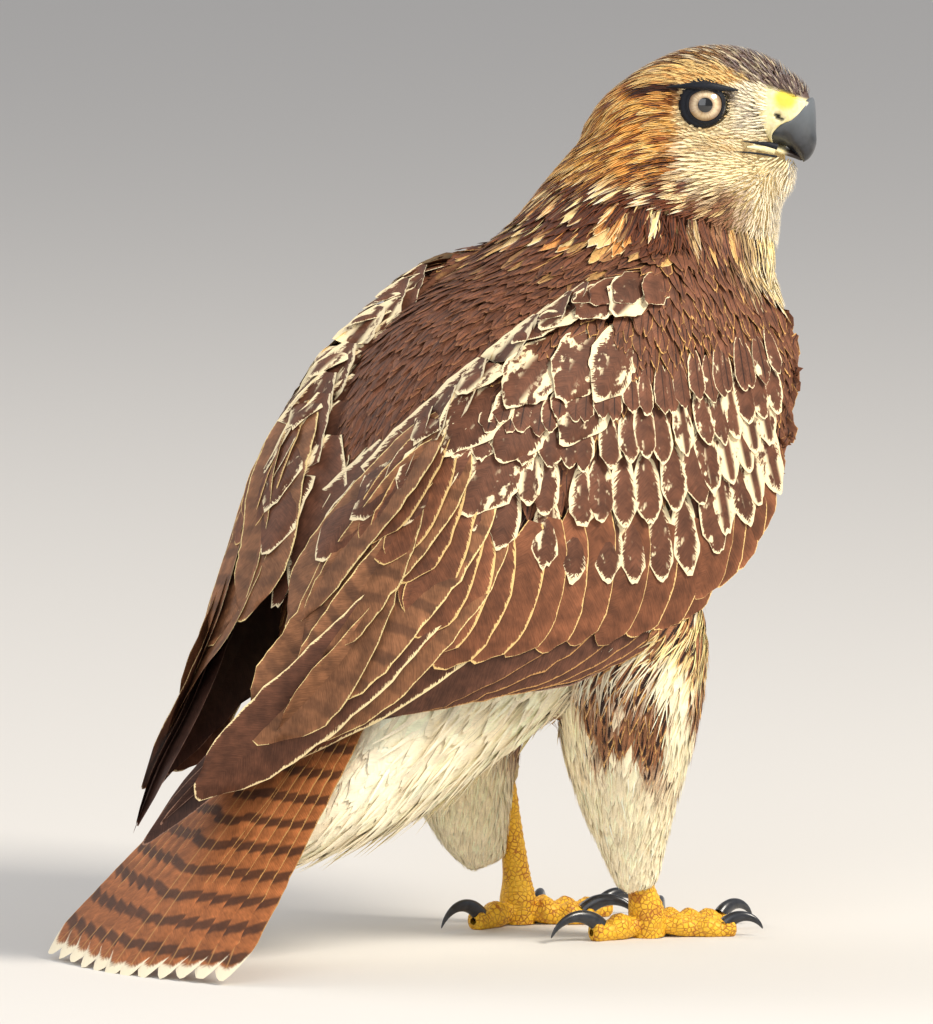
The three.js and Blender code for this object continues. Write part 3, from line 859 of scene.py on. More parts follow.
# Dark skin of the lids. The mouth's lines use the same dark as painted shade, and the brows use it as
# partly skin and partly painted shade.
@cache
def lid_material():
    g = Graph("lids")
    grain = g.noise(g.place(), 900.0, 3.0)
    colour = g.mix(grain, rgb("0a0c12"), rgb("1c212c"))
    return g.finish(colour, grain, 0.0003, 0.5, roughness=0.6, specular_ior_level=0.3)


IRIS_RADIUS = 7.5
PUPIL_RADIUS = 3.5


@cache
def eye_material():
    """An iris with fine spokes, darker at both rims, round a black pupil and under a clear coat."""
    g = Graph("eyeball")
    reach, x, y = g.values("shape")
    spokes = g.join(g.times(x, 9.0), g.times(y, 9.0), g.times(reach, 0.35))
    fibre = g.noise(spokes, 1.0, 3.0, 0.6)
    iris = g.mix(g.ramp(fibre, 0.3, 0.7), rgb("d3b48c"), rgb("f0dcb6"))
    iris = g.mix(g.ramp(reach, IRIS_RADIUS - 2.4, IRIS_RADIUS, 0.0, 0.85), iris, rgb("7c5a3c"))
    iris = g.mix(g.ramp(reach, PUPIL_RADIUS + 1.4, PUPIL_RADIUS, 0.0, 0.6), iris, rgb("6b4a30"))
    colour = g.mix(g.ramp(reach, PUPIL_RADIUS - 0.12, PUPIL_RADIUS + 0.12), rgb("030303"), iris)
    colour = g.mix(g.ramp(reach, IRIS_RADIUS - 0.15, IRIS_RADIUS + 0.35), colour, rgb("0c0a09"))
    return g.finish(colour, roughness=0.12, specular_ior_level=0.5, coat_weight=1.0, coat_roughness=0.02)


@cache
def leg_material():
    """Yellow skin covered with small scales whose seams are orange brown."""
    g = Graph("leg_scales")
    place = g.place()
    cells = g.node("ShaderNodeTexVoronoi", {"Vector": place, "Scale": 430.0}, feature="DISTANCE_TO_EDGE")
    seam = g.ramp(cells.outputs["Distance"], 0.0, 0.16, 1.0, 0.0)
    patches = g.noise(place, 130.0, 3.0)
    grain = g.noise(place, 700.0, 2.0)
    colour = g.mix(grain, rgb("e9a51d"), rgb("f8cf3e"))
    colour = g.mix(g.times(seam, g.ramp(patches, 0.35, 0.65, 0.3, 0.95)), colour, rgb("a4581c"))
    colour = g.mix(g.ramp(patches, 0.58, 0.7, 0.0, 0.6), colour, rgb("b06a22"))
    height = g.math("SUBTRACT", 1.0, seam)
    return g.finish(colour, height, 0.0005, 0.6, roughness=0.5, specular_ior_level=0.4)


# Feathers

class Coat:
    """Vanes gathered into one piece, with the values that their material reads."""

    def __init__(self, roots):
        self.roots = roots
        self.verts, self.faces, self.uv = [], [], []
        self.values = {"local": [], "shape": [], "main": [], "edge": [], "marks": []}
        self.count = 0

    def add(self, verts, faces, uv, values):
        self.verts.append(verts)
        self.faces.append(faces + self.count)
        self.uv.append(uv)
        for key, value in values.items():
            self.values[key].append(value)
        self.count += len(verts)

    def piece(self, name, material, slot, replaces=()):
        values = {key: np.concatenate(parts) for key, parts in self.values.items()}
        mesh = new_mesh(name, np.concatenate(self.verts), np.concatenate(self.faces), values,
                        np.concatenate(self.uv))
        return new_piece(name, mesh, material, replaces)


def walk(surface, places, normals, flow, lengths, strides):
    """Shafts that start at the places and follow the flow over the surface in equal strides."""
    shafts, ups = [places], [normals]
    step = (lengths / strides)[:, None]
    for _ in range(strides):
        ahead = tangent(flow(shafts[-1]), ups[-1])
        at, up = surface.snap(shafts[-1] + ahead * step)
        shafts.append(at)
        ups.append(up)
    return np.stack(shafts, 1), np.stack(ups, 1)


# Outlines of vanes: the part of the full width at each part of the length

BLUNT = curve((0, 0.3), (0.2, 0.75), (0.5, 1), (0.8, 1), (0.93, 0.86), (1, 0.58))
ROUND = curve((0, 0.25), (0.2, 0.72), (0.45, 1), (0.75, 0.95), (0.92, 0.72), (1, 0.45))
SOFT = curve((0, 0.3), (0.25, 0.8), (0.5, 1), (0.8, 0.75), (1, 0.3))
POINTED = curve((0, 0.3), (0.25, 0.85), (0.45, 1), (0.75, 0.66), (1, 0.12))
PLUME = curve((0, 0.5), (0.3, 1), (0.6, 0.85), (1, 0.05))
FLIGHT = curve((0, 0.2), (0.12, 0.7), (0.3, 0.95), (0.6, 1), (0.85, 0.92), (0.95, 0.72), (1, 0.42))
PRIMARY = curve((0, 0.3), (0.2, 0.8), (0.5, 1), (0.75, 0.72), (0.92, 0.5), (1, 0.2))


def vanes(coat, shafts, ups, half, look, outline=ROUND, columns=4, arch=0.22, ragged=0.1,
          skew=0.0, twist=0.0, seed=0, patch=PATCH, uv=None):
    """Adds one vane for each shaft. Half is the half width, and skew widens the left side."""
    rng = np.random.default_rng(seed)
    n, rows, _ = shafts.shape
    t = np.linspace(0, 1, rows)
    u = np.linspace(-1, 1, columns + 1)
    half = np.broadcast_to(np.asarray(half, float), (n,))
    ahead = unit(np.gradient(shafts, axis=1))
    side = unit(np.cross(ups, ahead))
    length = np.linalg.norm(np.diff(shafts, axis=1), axis=2).sum(1)
    width = half[:, None] * outline(t)
    lean = np.where(u > 0, 1 + skew, 1 - skew) * np.ones((n, rows, 1))
    rough = 1 + ragged * rng.normal(size=(n, rows, columns + 1)) * (np.abs(u) > 0.9)
    across = width[..., None] * u * lean * rough
    near_tip = smooth(t, 0.6, 1)[None, :, None]
    shift = -0.55 * half[:, None, None] * u ** 2 * near_tip
    shift = shift + ragged * 1.5 * half[:, None, None] * rng.normal(size=across.shape) * near_tip ** 3
    rise = arch * width[..., None] * (1 - u ** 2) + twist * across
    places = (shafts[:, :, None] + side[:, :, None] * across[..., None]
              + ahead[:, :, None] * shift[..., None] + ups[:, :, None] * rise[..., None])
    along = t[None, :, None] * length[:, None, None] + shift
    rim = np.minimum(width[..., None] * lean * (1 - np.abs(u)),
                     (1 - t)[None, :, None] * length[:, None, None] * np.ones_like(across))
    tag = (np.arange(n) * 0.731 % 97)[:, None, None] + np.zeros_like(across)
    one = np.ones_like(across)
    local = np.stack([across, along, tag], -1)
    shape = np.stack([t[None, :, None] * one, u * one, rim], -1)
    cells = rows * (columns + 1)
    faces = strip_faces(rows, columns + 1)
    faces = (faces[None] + (np.arange(n) * cells)[:, None, None]).reshape(-1, 4)
    main, edge, marks = look

    def spread(values):
        values = np.broadcast_to(values, (n, values.shape[-1]))
        return np.repeat(values, cells, 0)
    solid = np.ones((1, 1))
    values = {
        "local": local.reshape(-1, 3),
        "shape": shape.reshape(-1, 3),
        "main": np.hstack([spread(main), np.repeat(solid, n * cells, 0)]),
        "edge": np.hstack([spread(edge), np.repeat(solid, n * cells, 0)]),
        "marks": spread(marks),
    }
    if uv is None:
        base = coat.roots.at(shafts[:, 0])
        offset = np.stack([u * one / 2, (t - 0.5)[None, :, None] * one], -1) * patch
        uv = (base[:, None, None] + offset).reshape(-1, 2)
    coat.add(places.reshape(-1, 3), faces, np.clip(uv, 0.0005, 0.9995), values)


def vary(look, seed, amount=0.12):
    """The same look with each feather a little lighter or darker."""
    main, edge, marks = look
    rng = np.random.default_rng(seed)
    n = len(main)
    main = main * (1 + amount * rng.normal(size=(n, 1)))
    marks = marks * (1 + 0.3 * rng.normal(size=marks.shape)).clip(0.2, 1.9)
    return np.clip(main, 0.004, 0.95), edge, marks


def raise_shafts(shafts, ups, root, tip, power=0.8):
    """Shafts moved out along the normals, by one amount at the root and another at the tip."""
    t = np.linspace(0, 1, shafts.shape[1])[None, :, None] ** power
    root, tip = (np.broadcast_to(np.asarray(v, float), (len(shafts),))[:, None, None] for v in (root, tip))
    return shafts + ups * (root + (tip - root) * t)


def jitter(flow, seed, amount):
    """The flow with a steady random lean for each feather."""
    rng = np.random.default_rng(seed)
    lean = {}

    def at(p):
        if len(p) not in lean:
            lean[len(p)] = rng.normal(size=(len(p), 3)) * amount
        return unit(flow(p)) + lean[len(p)]
    return at


# Lie of the feathers

def head_flow(p):
    """Back from the bill, and down towards the neck."""
    f, _, u = head_place(p)
    away = unit(p - head_point(50, 0, np.clip(u, -19, -5)))
    sink = smooth(-f, 5, 45)[..., None]
    return away + 0.9 * sink * DOWN - 0.15 * FORWARD


def body_flow(p):
    """Down the neck and then along the back to the tail."""
    s, u = body_place(p)[0], head_place(p)[2]
    w = smooth(s, -45, 15)[..., None]
    down = DOWN + 0.25 * ALONG
    flow = unit(down) * (1 - w) + ALONG * w
    head = smooth(u, -48, -30)[..., None]
    return flow * (1 - head) + head_flow(p) * head


def leg_flow(p):
    w = smooth(p[..., 2], 95, 150)[..., None]
    return unit(DOWN + np.array([-0.12, 0, 0])) * (1 - w) + ALONG * w


def eye_gap(p):
    """Distance in millimetres from the middle of the nearer eye's dark ring, across its axis."""
    gaps = []
    for side in (-1, 1):
        centre = head_point(EYE["forward"] - RING_OFFSET, side * EYE["side"], EYE["up"])
        axis = unit(HEAD_LEFT * side + 0.2 * FORWARD)
        d = p - centre
        along = dot(d, axis)
        gap = np.linalg.norm(d - along[..., None] * axis, axis=-1)
        gaps.append(np.where(along > 0, gap, 99))
    return np.minimum(*gaps)


MOUTH_LINE = curve((24, -16.2), (37, -18.5), (45, -22), (50, -25))
CHIN_LINE = curve((24, -20.6), (38.4, -23.6), (50, -26.5))


def feathered_face(p):
    """One on feathered parts of the head, and nought on the eye, the cere and the mouth's corner."""
    f, _, u = head_place(p)
    face = (f > 36.5) & (u < 8.9 - 0.36 * (f - 37.4)) & (u > CHIN_LINE(f))
    mouth = (f > 26) & (u < MOUTH_LINE(f) + 1.0) & (u > CHIN_LINE(f) - 0.7)
    return (eye_gap(p) > RING_RADIUS - 0.3) * ~(face | mouth) * 1.0


# Coats of small feathers

def head_spacing(p):
    f = head_place(p)[0]
    return 1.35 + 0.75 * smooth(-f, -25, 30)


def head_coat(roots):
    coat = Coat(roots)
    at, up = shell.scatter(within("head", feathered_face), head_spacing, 11)
    f, _, u = head_place(at)
    length = 4.5 + 8.5 * smooth(-f, -30, 45) + 3 * smooth(-u, 15, 45)
    near_eye = smooth(eye_gap(at), RING_RADIUS, RING_RADIUS + 10)
    length *= 0.42 + 0.58 * near_eye
    half = 0.4 + 0.6 * smooth(-f, -25, 40)
    shafts, ups = walk(shell, at, up, jitter(head_flow, 12, 0.06), length, 4)
    tip = 0.1 + 0.35 * np.random.default_rng(13).random(len(at)) + 0.9 * smooth(f, 38, 42)
    shafts = raise_shafts(shafts, ups, -1.7, tip)
    look = vary(markings(shafts[:, 2]), 14, 0.1)
    vanes(coat, shafts, ups, half, look, POINTED, columns=2, arch=0.25, ragged=0.12, seed=15)
    return coat


def grow(roots, at, up, seed, length, spread, half, size, root, tip, strides=6, flow=body_flow, lean=0.06,
         crowd=1, bend=0.8, paints=markings, marks_at=3, shade=0.1, outline=POINTED, columns=4, arch=0.25,
         ragged=0.16):
    """A coat with a vane at each place, whose length, width and lift at the tip are drawn from ranges.

    Spread and size are ranges that multiply the length and the half width. Root and tip are lifts
    over the surface, the tip's being its least and what is drawn on top of that. Crowd draws more
    tips to the low end, bend is the power that a shaft rises by, and paints gives a place's look.
    """
    coat = Coat(roots)
    rng = np.random.default_rng(seed + 1)
    long = length * rng.uniform(*spread, len(at))
    shafts, ups = walk(shell, at, up, jitter(flow, seed + 2, lean), long, strides)
    shafts = raise_shafts(shafts, ups, root, tip[0] + tip[1] * rng.random(len(at)) ** crowd, bend)
    look = vary(paints(shafts[:, marks_at]), seed + 3, shade)
    wide = half * rng.uniform(*size, len(at))
    vanes(coat, shafts, ups, wide, look, outline, columns, arch, ragged, seed=seed + 4)
    return coat


def neck_coat(roots):
    at, up = shell.scatter(within("neck"), 2.9, 21)
    collar = collar_weight(at, *head_place(at))
    return grow(roots, at, up, 21, length=18 * (1 + 0.3 * collar), spread=(0.85, 1.2),
                half=2.0 * (1 - 0.35 * collar), size=(0.75, 1.25), root=-3.2, tip=(0.2, 0.7),
                strides=5, lean=0.08)


def upper_side(p):
    s, _, h = body_place(p)
    return smooth(h + 0.02 * s, -42, -30)


def back_coat(roots):
    at, up = shell.scatter(within("trunk", upper_side), 4.4, 31)
    s = body_place(at)[0]
    return grow(roots, at, up, 31, length=20 + 12 * smooth(s, 20, 160), spread=(0.9, 1.15),
                half=3.2 + 1.2 * smooth(s, 0, 120), size=(0.8, 1.2), root=-4.0, tip=(0.2, 0.6),
                lean=0.07, outline=SOFT, arch=0.16)


def breast_coat(roots):
    def under(p):
        return 1 - upper_side(p)
    at, up = shell.scatter(within("trunk", under), 5.0, 41)
    s = body_place(at)[0]
    return grow(roots, at, up, 41, length=20 + 12 * smooth(s, 120, 220), spread=(0.85, 1.2),
                half=4.4, size=(0.85, 1.15), root=-4.0, tip=(0.3, 0.8),
                paints=all_markings, shade=0.06, outline=ROUND, arch=0.22)


def thigh_coat(roots):
    def spacing(p):
        return 2.6 + 1.9 * smooth(p[..., 2], 30, 110)
    at, up = shell.scatter(within("thigh"), spacing, 51)
    z = at[:, 2]
    thick = smooth(z, 25, 110)
    return grow(roots, at, up, 51, length=9 + 12 * thick, spread=(0.85, 1.2),
                half=1.5 + 2.0 * thick, size=(0.85, 1.15), root=-1.4 - 2.4 * smooth(z, 30, 90),
                tip=(0.2, 0.7), strides=5, flow=leg_flow, paints=thigh_marks, shade=0.05)


def vent_plumes(roots):
    """Long loose feathers under the tail's root, which fan out over its sides."""
    def vent(p):
        s, _, h = body_place(p)
        return smooth(s, 135, 160) * (1 - smooth(h, -50, -40))
    at, up = shell.scatter(within("trunk", vent), 3.6, 221)
    s = body_place(at)[0]
    return grow(roots, at, up, 221, length=28 + 26 * smooth(s, 150, 215), spread=(0.7, 1.15),
                half=1.9, size=(0.6, 1.2), root=-3.0, tip=(0.6, 7.0), strides=8, lean=0.12, crowd=2,
                bend=1.5, marks_at=2, shade=0.05, outline=PLUME, columns=2, ragged=0.12)


def plain_markings(p):
    main, edge, marks = all_markings(p)
    return main, edge, 0 * marks


def strands(roots, parts, spacing, length, half, lift, seed, flow=body_flow):
    """Loose thin strands over the feathers of some parts, which soften them."""
    at, up = shell.scatter(within(parts), spacing, seed)
    return grow(roots, at, up, seed, length=length(at), spread=(0.6, 1.3), half=half, size=(1, 1),
                root=-1.5, tip=(0.3 * lift, lift), strides=5, flow=flow, lean=0.14, crowd=2, bend=1.2,
                paints=plain_markings, marks_at=2, shade=0.16, outline=PLUME, columns=1, arch=0.0,
                ragged=0.1)


def leg_strands(roots):
    def length(p):
        return 10 + 14 * smooth(p[..., 2], 25, 100)
    return strands(roots, "thigh", spacing=2.2, length=length, half=0.42, lift=1.6, seed=200, flow=leg_flow)


def body_strands(roots):
    def length(p):
        return 11 + 7 * smooth(body_place(p)[0], -30, 60)
    return strands(roots, "neck trunk", spacing=2.7, length=length, half=0.34, lift=1.0, seed=210)


# Wings: places on a folded wing by s from the shoulder to the tip, and t from its top edge down.
# Both wings are alike at the front. Behind it the left one lies further out than the right one.

WING_FRONT = {
    "top": [(-50, 40), (-20, 56), (10, 62), (60, 58), (110, 50), (160, 34), (200, 12)],
    "wide": [(-50, 62), (-20, 76), (10, 84), (60, 93), (110, 95), (160, 91), (200, 81)],
    "low": [(-50, 60), (-20, 75), (10, 80), (60, 88), (110, 88), (160, 84), (200, 72)],
}
WING_REAR = {
    "right": {
        "top": [(240, 4), (275, -2), (315, -14), (350, -24)],
        "wide": [(240, 63), (275, 40), (315, 12), (350, -18)],
        "low": [(240, 48), (275, 18), (315, -5), (350, -20)],
    },
    "left": {
        "top": [(240, 5), (275, 8), (315, 18), (345, 28)],
        "wide": [(240, 66), (275, 53), (315, 43), (345, 33)],
        "low": [(240, 52), (275, 43), (315, 39), (345, 31)],
    },
}
WING = {side: {line: curve(*WING_FRONT[line], *rear[line]) for line in WING_FRONT}
        for side, rear in WING_REAR.items()}
WING_UPPER_EDGE = curve((-50, -18), (-20, 14), (10, 32), (60, 47), (110, 54), (160, 49), (200, 39),
                 (240, 28), (275, 21), (315, 13), (350, 1))
WING_LOWER_EDGE = curve((-50, -66), (-20, -84), (10, -96), (60, -105), (110, -97), (160, -70), (200, -42),
                 (240, -24), (275, -16), (315, -8), (350, -2))
WING_FULLNESS = 0.7


def wing_point(side, s, t):
    """A place on a wing's outer face, on a round section from its top edge to its lower one."""
    shape = WING[side]
    s, t = np.broadcast_arrays(np.asarray(s, float), np.asarray(t, float))
    top, wide, lower = (shape[key](s) for key in ("top", "wide", "low"))
    high_h, low_h = WING_UPPER_EDGE(s), WING_LOWER_EDGE(s)
    outs = [top, top + WING_FULLNESS * (wide - top), wide, lower]
    ups = [high_h, high_h, low_h + WING_FULLNESS * (high_h - low_h), low_h]
    weights = [(1 - t) ** 3, 3 * t * (1 - t) ** 2, 3 * t * t * (1 - t), t ** 3]
    out = sum(w * v for w, v in zip(weights, outs))
    up = sum(w * v for w, v in zip(weights, ups))
    return body_point(s, SIDES[side] * out, up)


def wing_normal(side, s, t):
    ds = wing_point(side, s + 1.0, t) - wing_point(side, s - 1.0, t)
    dt = wing_point(side, s, np.minimum(t + 0.01, 1)) - wing_point(side, s, np.maximum(t - 0.01, 0))
    return unit(np.cross(dt, ds) * SIDES[side])


def wing_shafts(side, roots, tips, rows, lift_root, lift_tip, bow=0.0):
    """Shafts from roots to tips, both given as (s, t) on the wing, bowed towards its lower edge."""
    k = np.linspace(0, 1, rows)[None, :]
    roots, tips = np.asarray(roots, float), np.asarray(tips, float)
    s = roots[:, :1] + (tips[:, :1] - roots[:, :1]) * k
    t = roots[:, 1:] + (tips[:, 1:] - roots[:, 1:]) * k + bow * np.sin(math.pi * k)
    t = np.clip(t, -0.2, 1.0)
    shafts = wing_point(side, s, t)
    ups = wing_normal(side, s, t)
    return raise_shafts(shafts, ups, lift_root, lift_tip, 1.0), ups


def along_line(keys, count, seed=0, loose=0.0):
    """Evenly spaced points on a line of (s, t) keys, a little loose if wanted."""
    keys = np.array(keys, float)
    k = np.arange(len(keys))
    at = np.linspace(0, len(keys) - 1, count)
    line = np.stack([curve(*zip(k, keys[:, 0]))(at), curve(*zip(k, keys[:, 1]))(at)], 1)
    rng = np.random.default_rng(seed)
    return line + rng.normal(size=line.shape) * np.array([1.0, 0.006]) * loose


def wing_look(count, main, edge, marks, seed, amount=0.08):
    """The look of a number of feathers alike but for their shade."""
    main = np.broadcast_to(main, (count, 3))
    edge = np.broadcast_to(edge, (count, 3))
    marks = np.broadcast_to(np.array(marks, float), (count, 4)).copy()
    return vary((main, edge, marks), seed, amount)


# Rows of coverts, by the line that their tips lie on, the lowest row first

COVERT_ROWS = [
    {"tips": [(162, 0.5), (152, 0.72), (130, 0.84), (106, 0.91), (76, 0.94), (52, 0.965), (30, 0.985)],
     "count": 13, "length": 41, "half": 8.6, "marks": (1.9, 0, 0, 0.42)},
    {"tips": [(148, 0.38), (136, 0.58), (118, 0.72), (92, 0.8), (64, 0.86), (38, 0.91), (14, 0.95)],
     "count": 15, "length": 36, "half": 8.0, "marks": (1.8, 0, 0, 0.5)},
    {"tips": [(140, 0.26), (124, 0.47), (104, 0.6), (78, 0.69), (52, 0.77), (26, 0.85), (0, 0.91)],
     "count": 18, "length": 30, "half": 6.6, "marks": (1.3, 0, 0, 0.45)},
    {"tips": [(120, 0.26), (106, 0.4), (86, 0.5), (62, 0.6), (38, 0.7), (14, 0.79), (-12, 0.87)],
     "count": 24, "length": 25, "half": 5.0, "marks": (0.6, 0.3, 0, 0.2)},
]
COVERT_LEAN = 0.0046
SCALLOP = blend(WHITE, CREAM, 0.4)


def covert_rows(coat, side):
    for i, row in reversed(list(enumerate(COVERT_ROWS))):
        tips = along_line(row["tips"], row["count"], 60 + i, 1.6)
        n = len(tips)
        rng = np.random.default_rng(70 + i)
        ds = 0.72 * row["length"] * rng.uniform(0.92, 1.1, n)
        roots = tips - np.stack([ds, ds * COVERT_LEAN], 1)
        roots[:, 1] = np.clip(roots[:, 1], 0, 1)
        shafts, ups = wing_shafts(side, roots, tips, 8, -2.4 + 0.5 * i, 1.9 + 0.5 * i)
        look = wing_look(n, blend(BROWN, UMBER, 0.2), SCALLOP, row["marks"], 80 + i)
        look[2][:, 3] *= 0.8 + 0.6 * (1 - smooth(tips[:, 0], 20, 90))
        vanes(coat, shafts, ups, row["half"] * rng.uniform(0.92, 1.08, n), look, BLUNT, columns=6,
              arch=0.16, ragged=0.05, seed=90 + i, patch=COVERT_PATCH)


LESSER_LINE = curve((-60, 1), (-12, 0.9), (14, 0.8), (38, 0.67), (62, 0.57), (86, 0.47), (106, 0.37),
                    (120, 0.23), (150, 0))
LESSER_END = 165
LESSER_LAP = 38
NOWHERE = -99


def above_line(side, p):
    """Height in millimetres over the line where the small coverts end, or nowhere at the wing's rear."""
    s, _, h = body_place(p)
    line = body_place(wing_point(side, s, LESSER_LINE(s)))[2]
    return np.where(s < LESSER_END, h - line, NOWHERE)


def lesser_coverts(coat, side):
    """Small feathers on the shoulder, which go on for a lap under the rows of larger ones."""
    def keep(p):
        return (above_line(side, p) > -LESSER_LAP) * 1.0

    def flow(p):
        h = body_place(p)[2]
        w = smooth(-h, -45, 10)[..., None]
        return unit(ALONG * (1.2 - w) + DOWN * (0.3 + 0.7 * w))
    at, up = shell.scatter(within(side, keep), 4.0, 101)
    rng = np.random.default_rng(102)
    length = 17 * rng.uniform(0.85, 1.2, len(at))
    shafts, ups = walk(shell, at, up, jitter(flow, 103, 0.08), length, 5)
    above = smooth(above_line(side, at), -12, 2)
    shafts = raise_shafts(shafts, ups, -3.4, -1.2 + above * (1.7 + 0.6 * rng.random(len(at))))
    fine = smooth(wobble(at, 14, 107), -0.3, 0.4)
    look = mix_marks(wing_look(len(at), BROWN, TAN, (0.2, 0.3, 0, 0), 104),
                     wing_look(len(at), BROWN, BUFF, (0.35, 0.3, 0, 0), 105), fine)
    half = 3.4 * rng.uniform(0.8, 1.2, len(at))
    vanes(coat, shafts, ups, half, look, SOFT, columns=4, arch=0.2, ragged=0.14, seed=106)


GREATER_COUNT = 20
GREATER_PALE = 8
GREATER_TIPS = [(190, 0.18), (200, 0.42), (212, 0.64), (217, 0.82), (194, 0.9), (170, 0.94), (146, 0.965),
                (120, 0.98), (96, 0.985), (72, 0.99), (48, 0.99)]


def greater_coverts(coat, side):
    """One long row under the others, which turns up over the flight feathers at the rear."""
    tips = along_line(GREATER_TIPS, GREATER_COUNT, 110, 0.6)
    n = len(tips)
    rng = np.random.default_rng(111)
    reach = np.linspace(72, 46, n) * rng.uniform(0.96, 1.05, n)
    drop = 0.1 + 0.16 * bump(np.arange(n), 3, 9, 4)
    roots = np.stack([tips[:, 0] - reach, np.clip(tips[:, 1] - drop, -0.1, 1)], 1)
    lift = 3.1 - 0.1 * np.arange(n)
    shafts, ups = wing_shafts(side, roots, tips, 12, lift - 2.0, lift)
    look = wing_look(n, blend(BROWN, RUFOUS, 0.2), blend(CREAM, BUFF, 0.5), (0.3, 0, 0.12, 0), 112, 0.1)
    look[2][:GREATER_PALE, 0] = 0.8
    vanes(coat, shafts, ups, np.linspace(15, 10, n), look, BLUNT, columns=6, arch=0.03, ragged=0.02,
          twist=-0.06 * SIDES[side], seed=113, patch=LARGE_PATCH)


def flight_uv(count, rows, columns, first, total):
    """Upright strips side by side, one for each large feather."""
    column = (np.arange(count) + first)[:, None, None]
    u = np.linspace(-0.45, 0.45, columns + 1)[None, None]
    t = np.linspace(0.02, 0.98, rows)[None, :, None]
    x = (column + 0.5 + u) / total + 0 * t
    return np.stack([x, t + 0 * x], -1).reshape(-1, 2)


FLIGHT_STRIPS = 30
FLIGHT_ROWS = 26
FLIGHT_COLUMNS = 6
PRIMARIES = 8
SECONDARIES = 7
INNERS = 2
WING_TIP = {"right": (349, 0.45), "left": (344, 0.45)}


def flight_feathers(coat, side, first, roots, tips, half, colours, marks, lifts, seed, shade=0.04,
                    outline=FLIGHT, skew=0.0, bow=0.0):
    """A group of long feathers from roots to tips, its first one on a strip of the map."""
    n = len(tips)
    look = wing_look(n, *colours, marks, seed, shade)
    shafts, ups = wing_shafts(side, roots, tips, FLIGHT_ROWS, lifts - 1.0, lifts, bow)
    strips = flight_uv(n, FLIGHT_ROWS, FLIGHT_COLUMNS, first, FLIGHT_STRIPS)
    vanes(coat, shafts, ups, half, look, outline, FLIGHT_COLUMNS, arch=0.03, ragged=0.02, skew=skew,
          twist=-0.05 * SIDES[side], seed=seed + 1, uv=strips)


def primaries(coat, side):
    order = np.arange(PRIMARIES)
    tips = [(238, 0.92), (262, 0.92), (286, 0.88), (306, 0.84), (324, 0.76), (338, 0.62),
            WING_TIP[side], (340, 0.2)]
    roots = np.stack([84 + 6 * order, 0.88 - 0.055 * order], 1)
    colours = blend(UMBER, DARK, 0.35), blend(TAN, GREY, 0.3)
    flight_feathers(coat, side, 0, roots, tips, half=np.linspace(16, 11, PRIMARIES), colours=colours,
                    marks=(0.3, 0, 0.2, 0), lifts=-1.6 - 0.25 * order, seed=121, outline=PRIMARY,
                    skew=0.2, bow=0.05)


def secondaries(coat, side):
    tips = along_line([(166, 0.95), (194, 0.95), (218, 0.94), (238, 0.92), (252, 0.86)], SECONDARIES)
    roots = along_line([(34, 0.88), (70, 0.84), (110, 0.74)], SECONDARIES)
    colours = blend(BROWN, UMBER, 0.55), blend(BUFF, TAN, 0.5)
    flight_feathers(coat, side, PRIMARIES, roots, tips, half=np.linspace(15, 20, SECONDARIES),
                    colours=colours, marks=(0.3, 0, 0.12, 0), lifts=-0.9 + 0.16 * np.arange(SECONDARIES),
                    seed=123, skew=0.1, bow=0.03)


def inner_feathers(coat, side):
    """Two pale-edged feathers that lie low over the primaries."""
    roots, tips = [(150, 0.5), (140, 0.7)], [(321, 0.6), (300, 0.9)]
    colours = blend(BROWN, UMBER, 0.25), blend(CREAM, WHITE, 0.3)
    flight_feathers(coat, side, PRIMARIES + SECONDARIES, roots, tips, half=np.array([19.0, 14.0]),
                    colours=colours, marks=(0.8, 0, 0.15, 0), lifts=np.array([0.4, 0.2]), seed=127,
                    shade=0.03)


def tertials(coat, side):
    tips = [(290, 0.5), (286, 0.74), (268, 0.5), (248, 0.3), (236, 0.1)]
    roots = [(150, 0.1), (140, 0.5), (132, 0.38), (126, 0.2), (118, 0.02)]
    colours = blend(BROWN, TAN, 0.8), CREAM
    flight_feathers(coat, side, PRIMARIES + SECONDARIES + INNERS, roots, tips,
                    half=np.array([24.0, 20, 21, 21, 19]), colours=colours, marks=(0.5, 0, 0.45, 0),
                    lifts=np.array([0.7, 0.9, 1.3, 1.7, 2.1]), seed=125, shade=0.05)


def flight_coat(roots, side):
    coat = Coat(roots)
    primaries(coat, side)
    secondaries(coat, side)
    inner_feathers(coat, side)
    tertials(coat, side)
    return coat


# Scapulars: large feathers from the shoulder blade over the wing's top, in rows with pale scallops

SCAPULAR_ROWS = [
    {"tips": [(224, -0.1), (206, 0.06), (186, 0.2)],
     "count": 3, "length": 84, "half": 17, "edge": 1.2, "pale": 0.1},
    {"tips": [(192, -0.1), (178, 0.16), (160, 0.42)],
     "count": 4, "length": 70, "half": 17, "edge": 1.6, "pale": 0.35},
    {"tips": [(155, -0.12), (140, 0.08), (134, 0.36), (104, 0.5)],
     "count": 5, "length": 56, "half": 15, "edge": 2.0, "pale": 0.5},
    {"tips": [(122, -0.16), (110, 0.12), (94, 0.38), (72, 0.47)],
     "count": 5, "length": 48, "half": 13.5, "edge": 2.0, "pale": 0.62},
    {"tips": [(96, -0.16), (80, 0.02), (58, 0.1), (38, 0.3)],
     "count": 6, "length": 38, "half": 10, "edge": 1.3, "pale": 0.62},
    {"tips": [(72, -0.1), (52, 0.02), (34, 0.14), (22, 0.34)],
     "count": 7, "length": 30, "half": 7.5, "edge": 0.5, "pale": 0.3},
]
SCAPULAR_LEAN = 0.0018


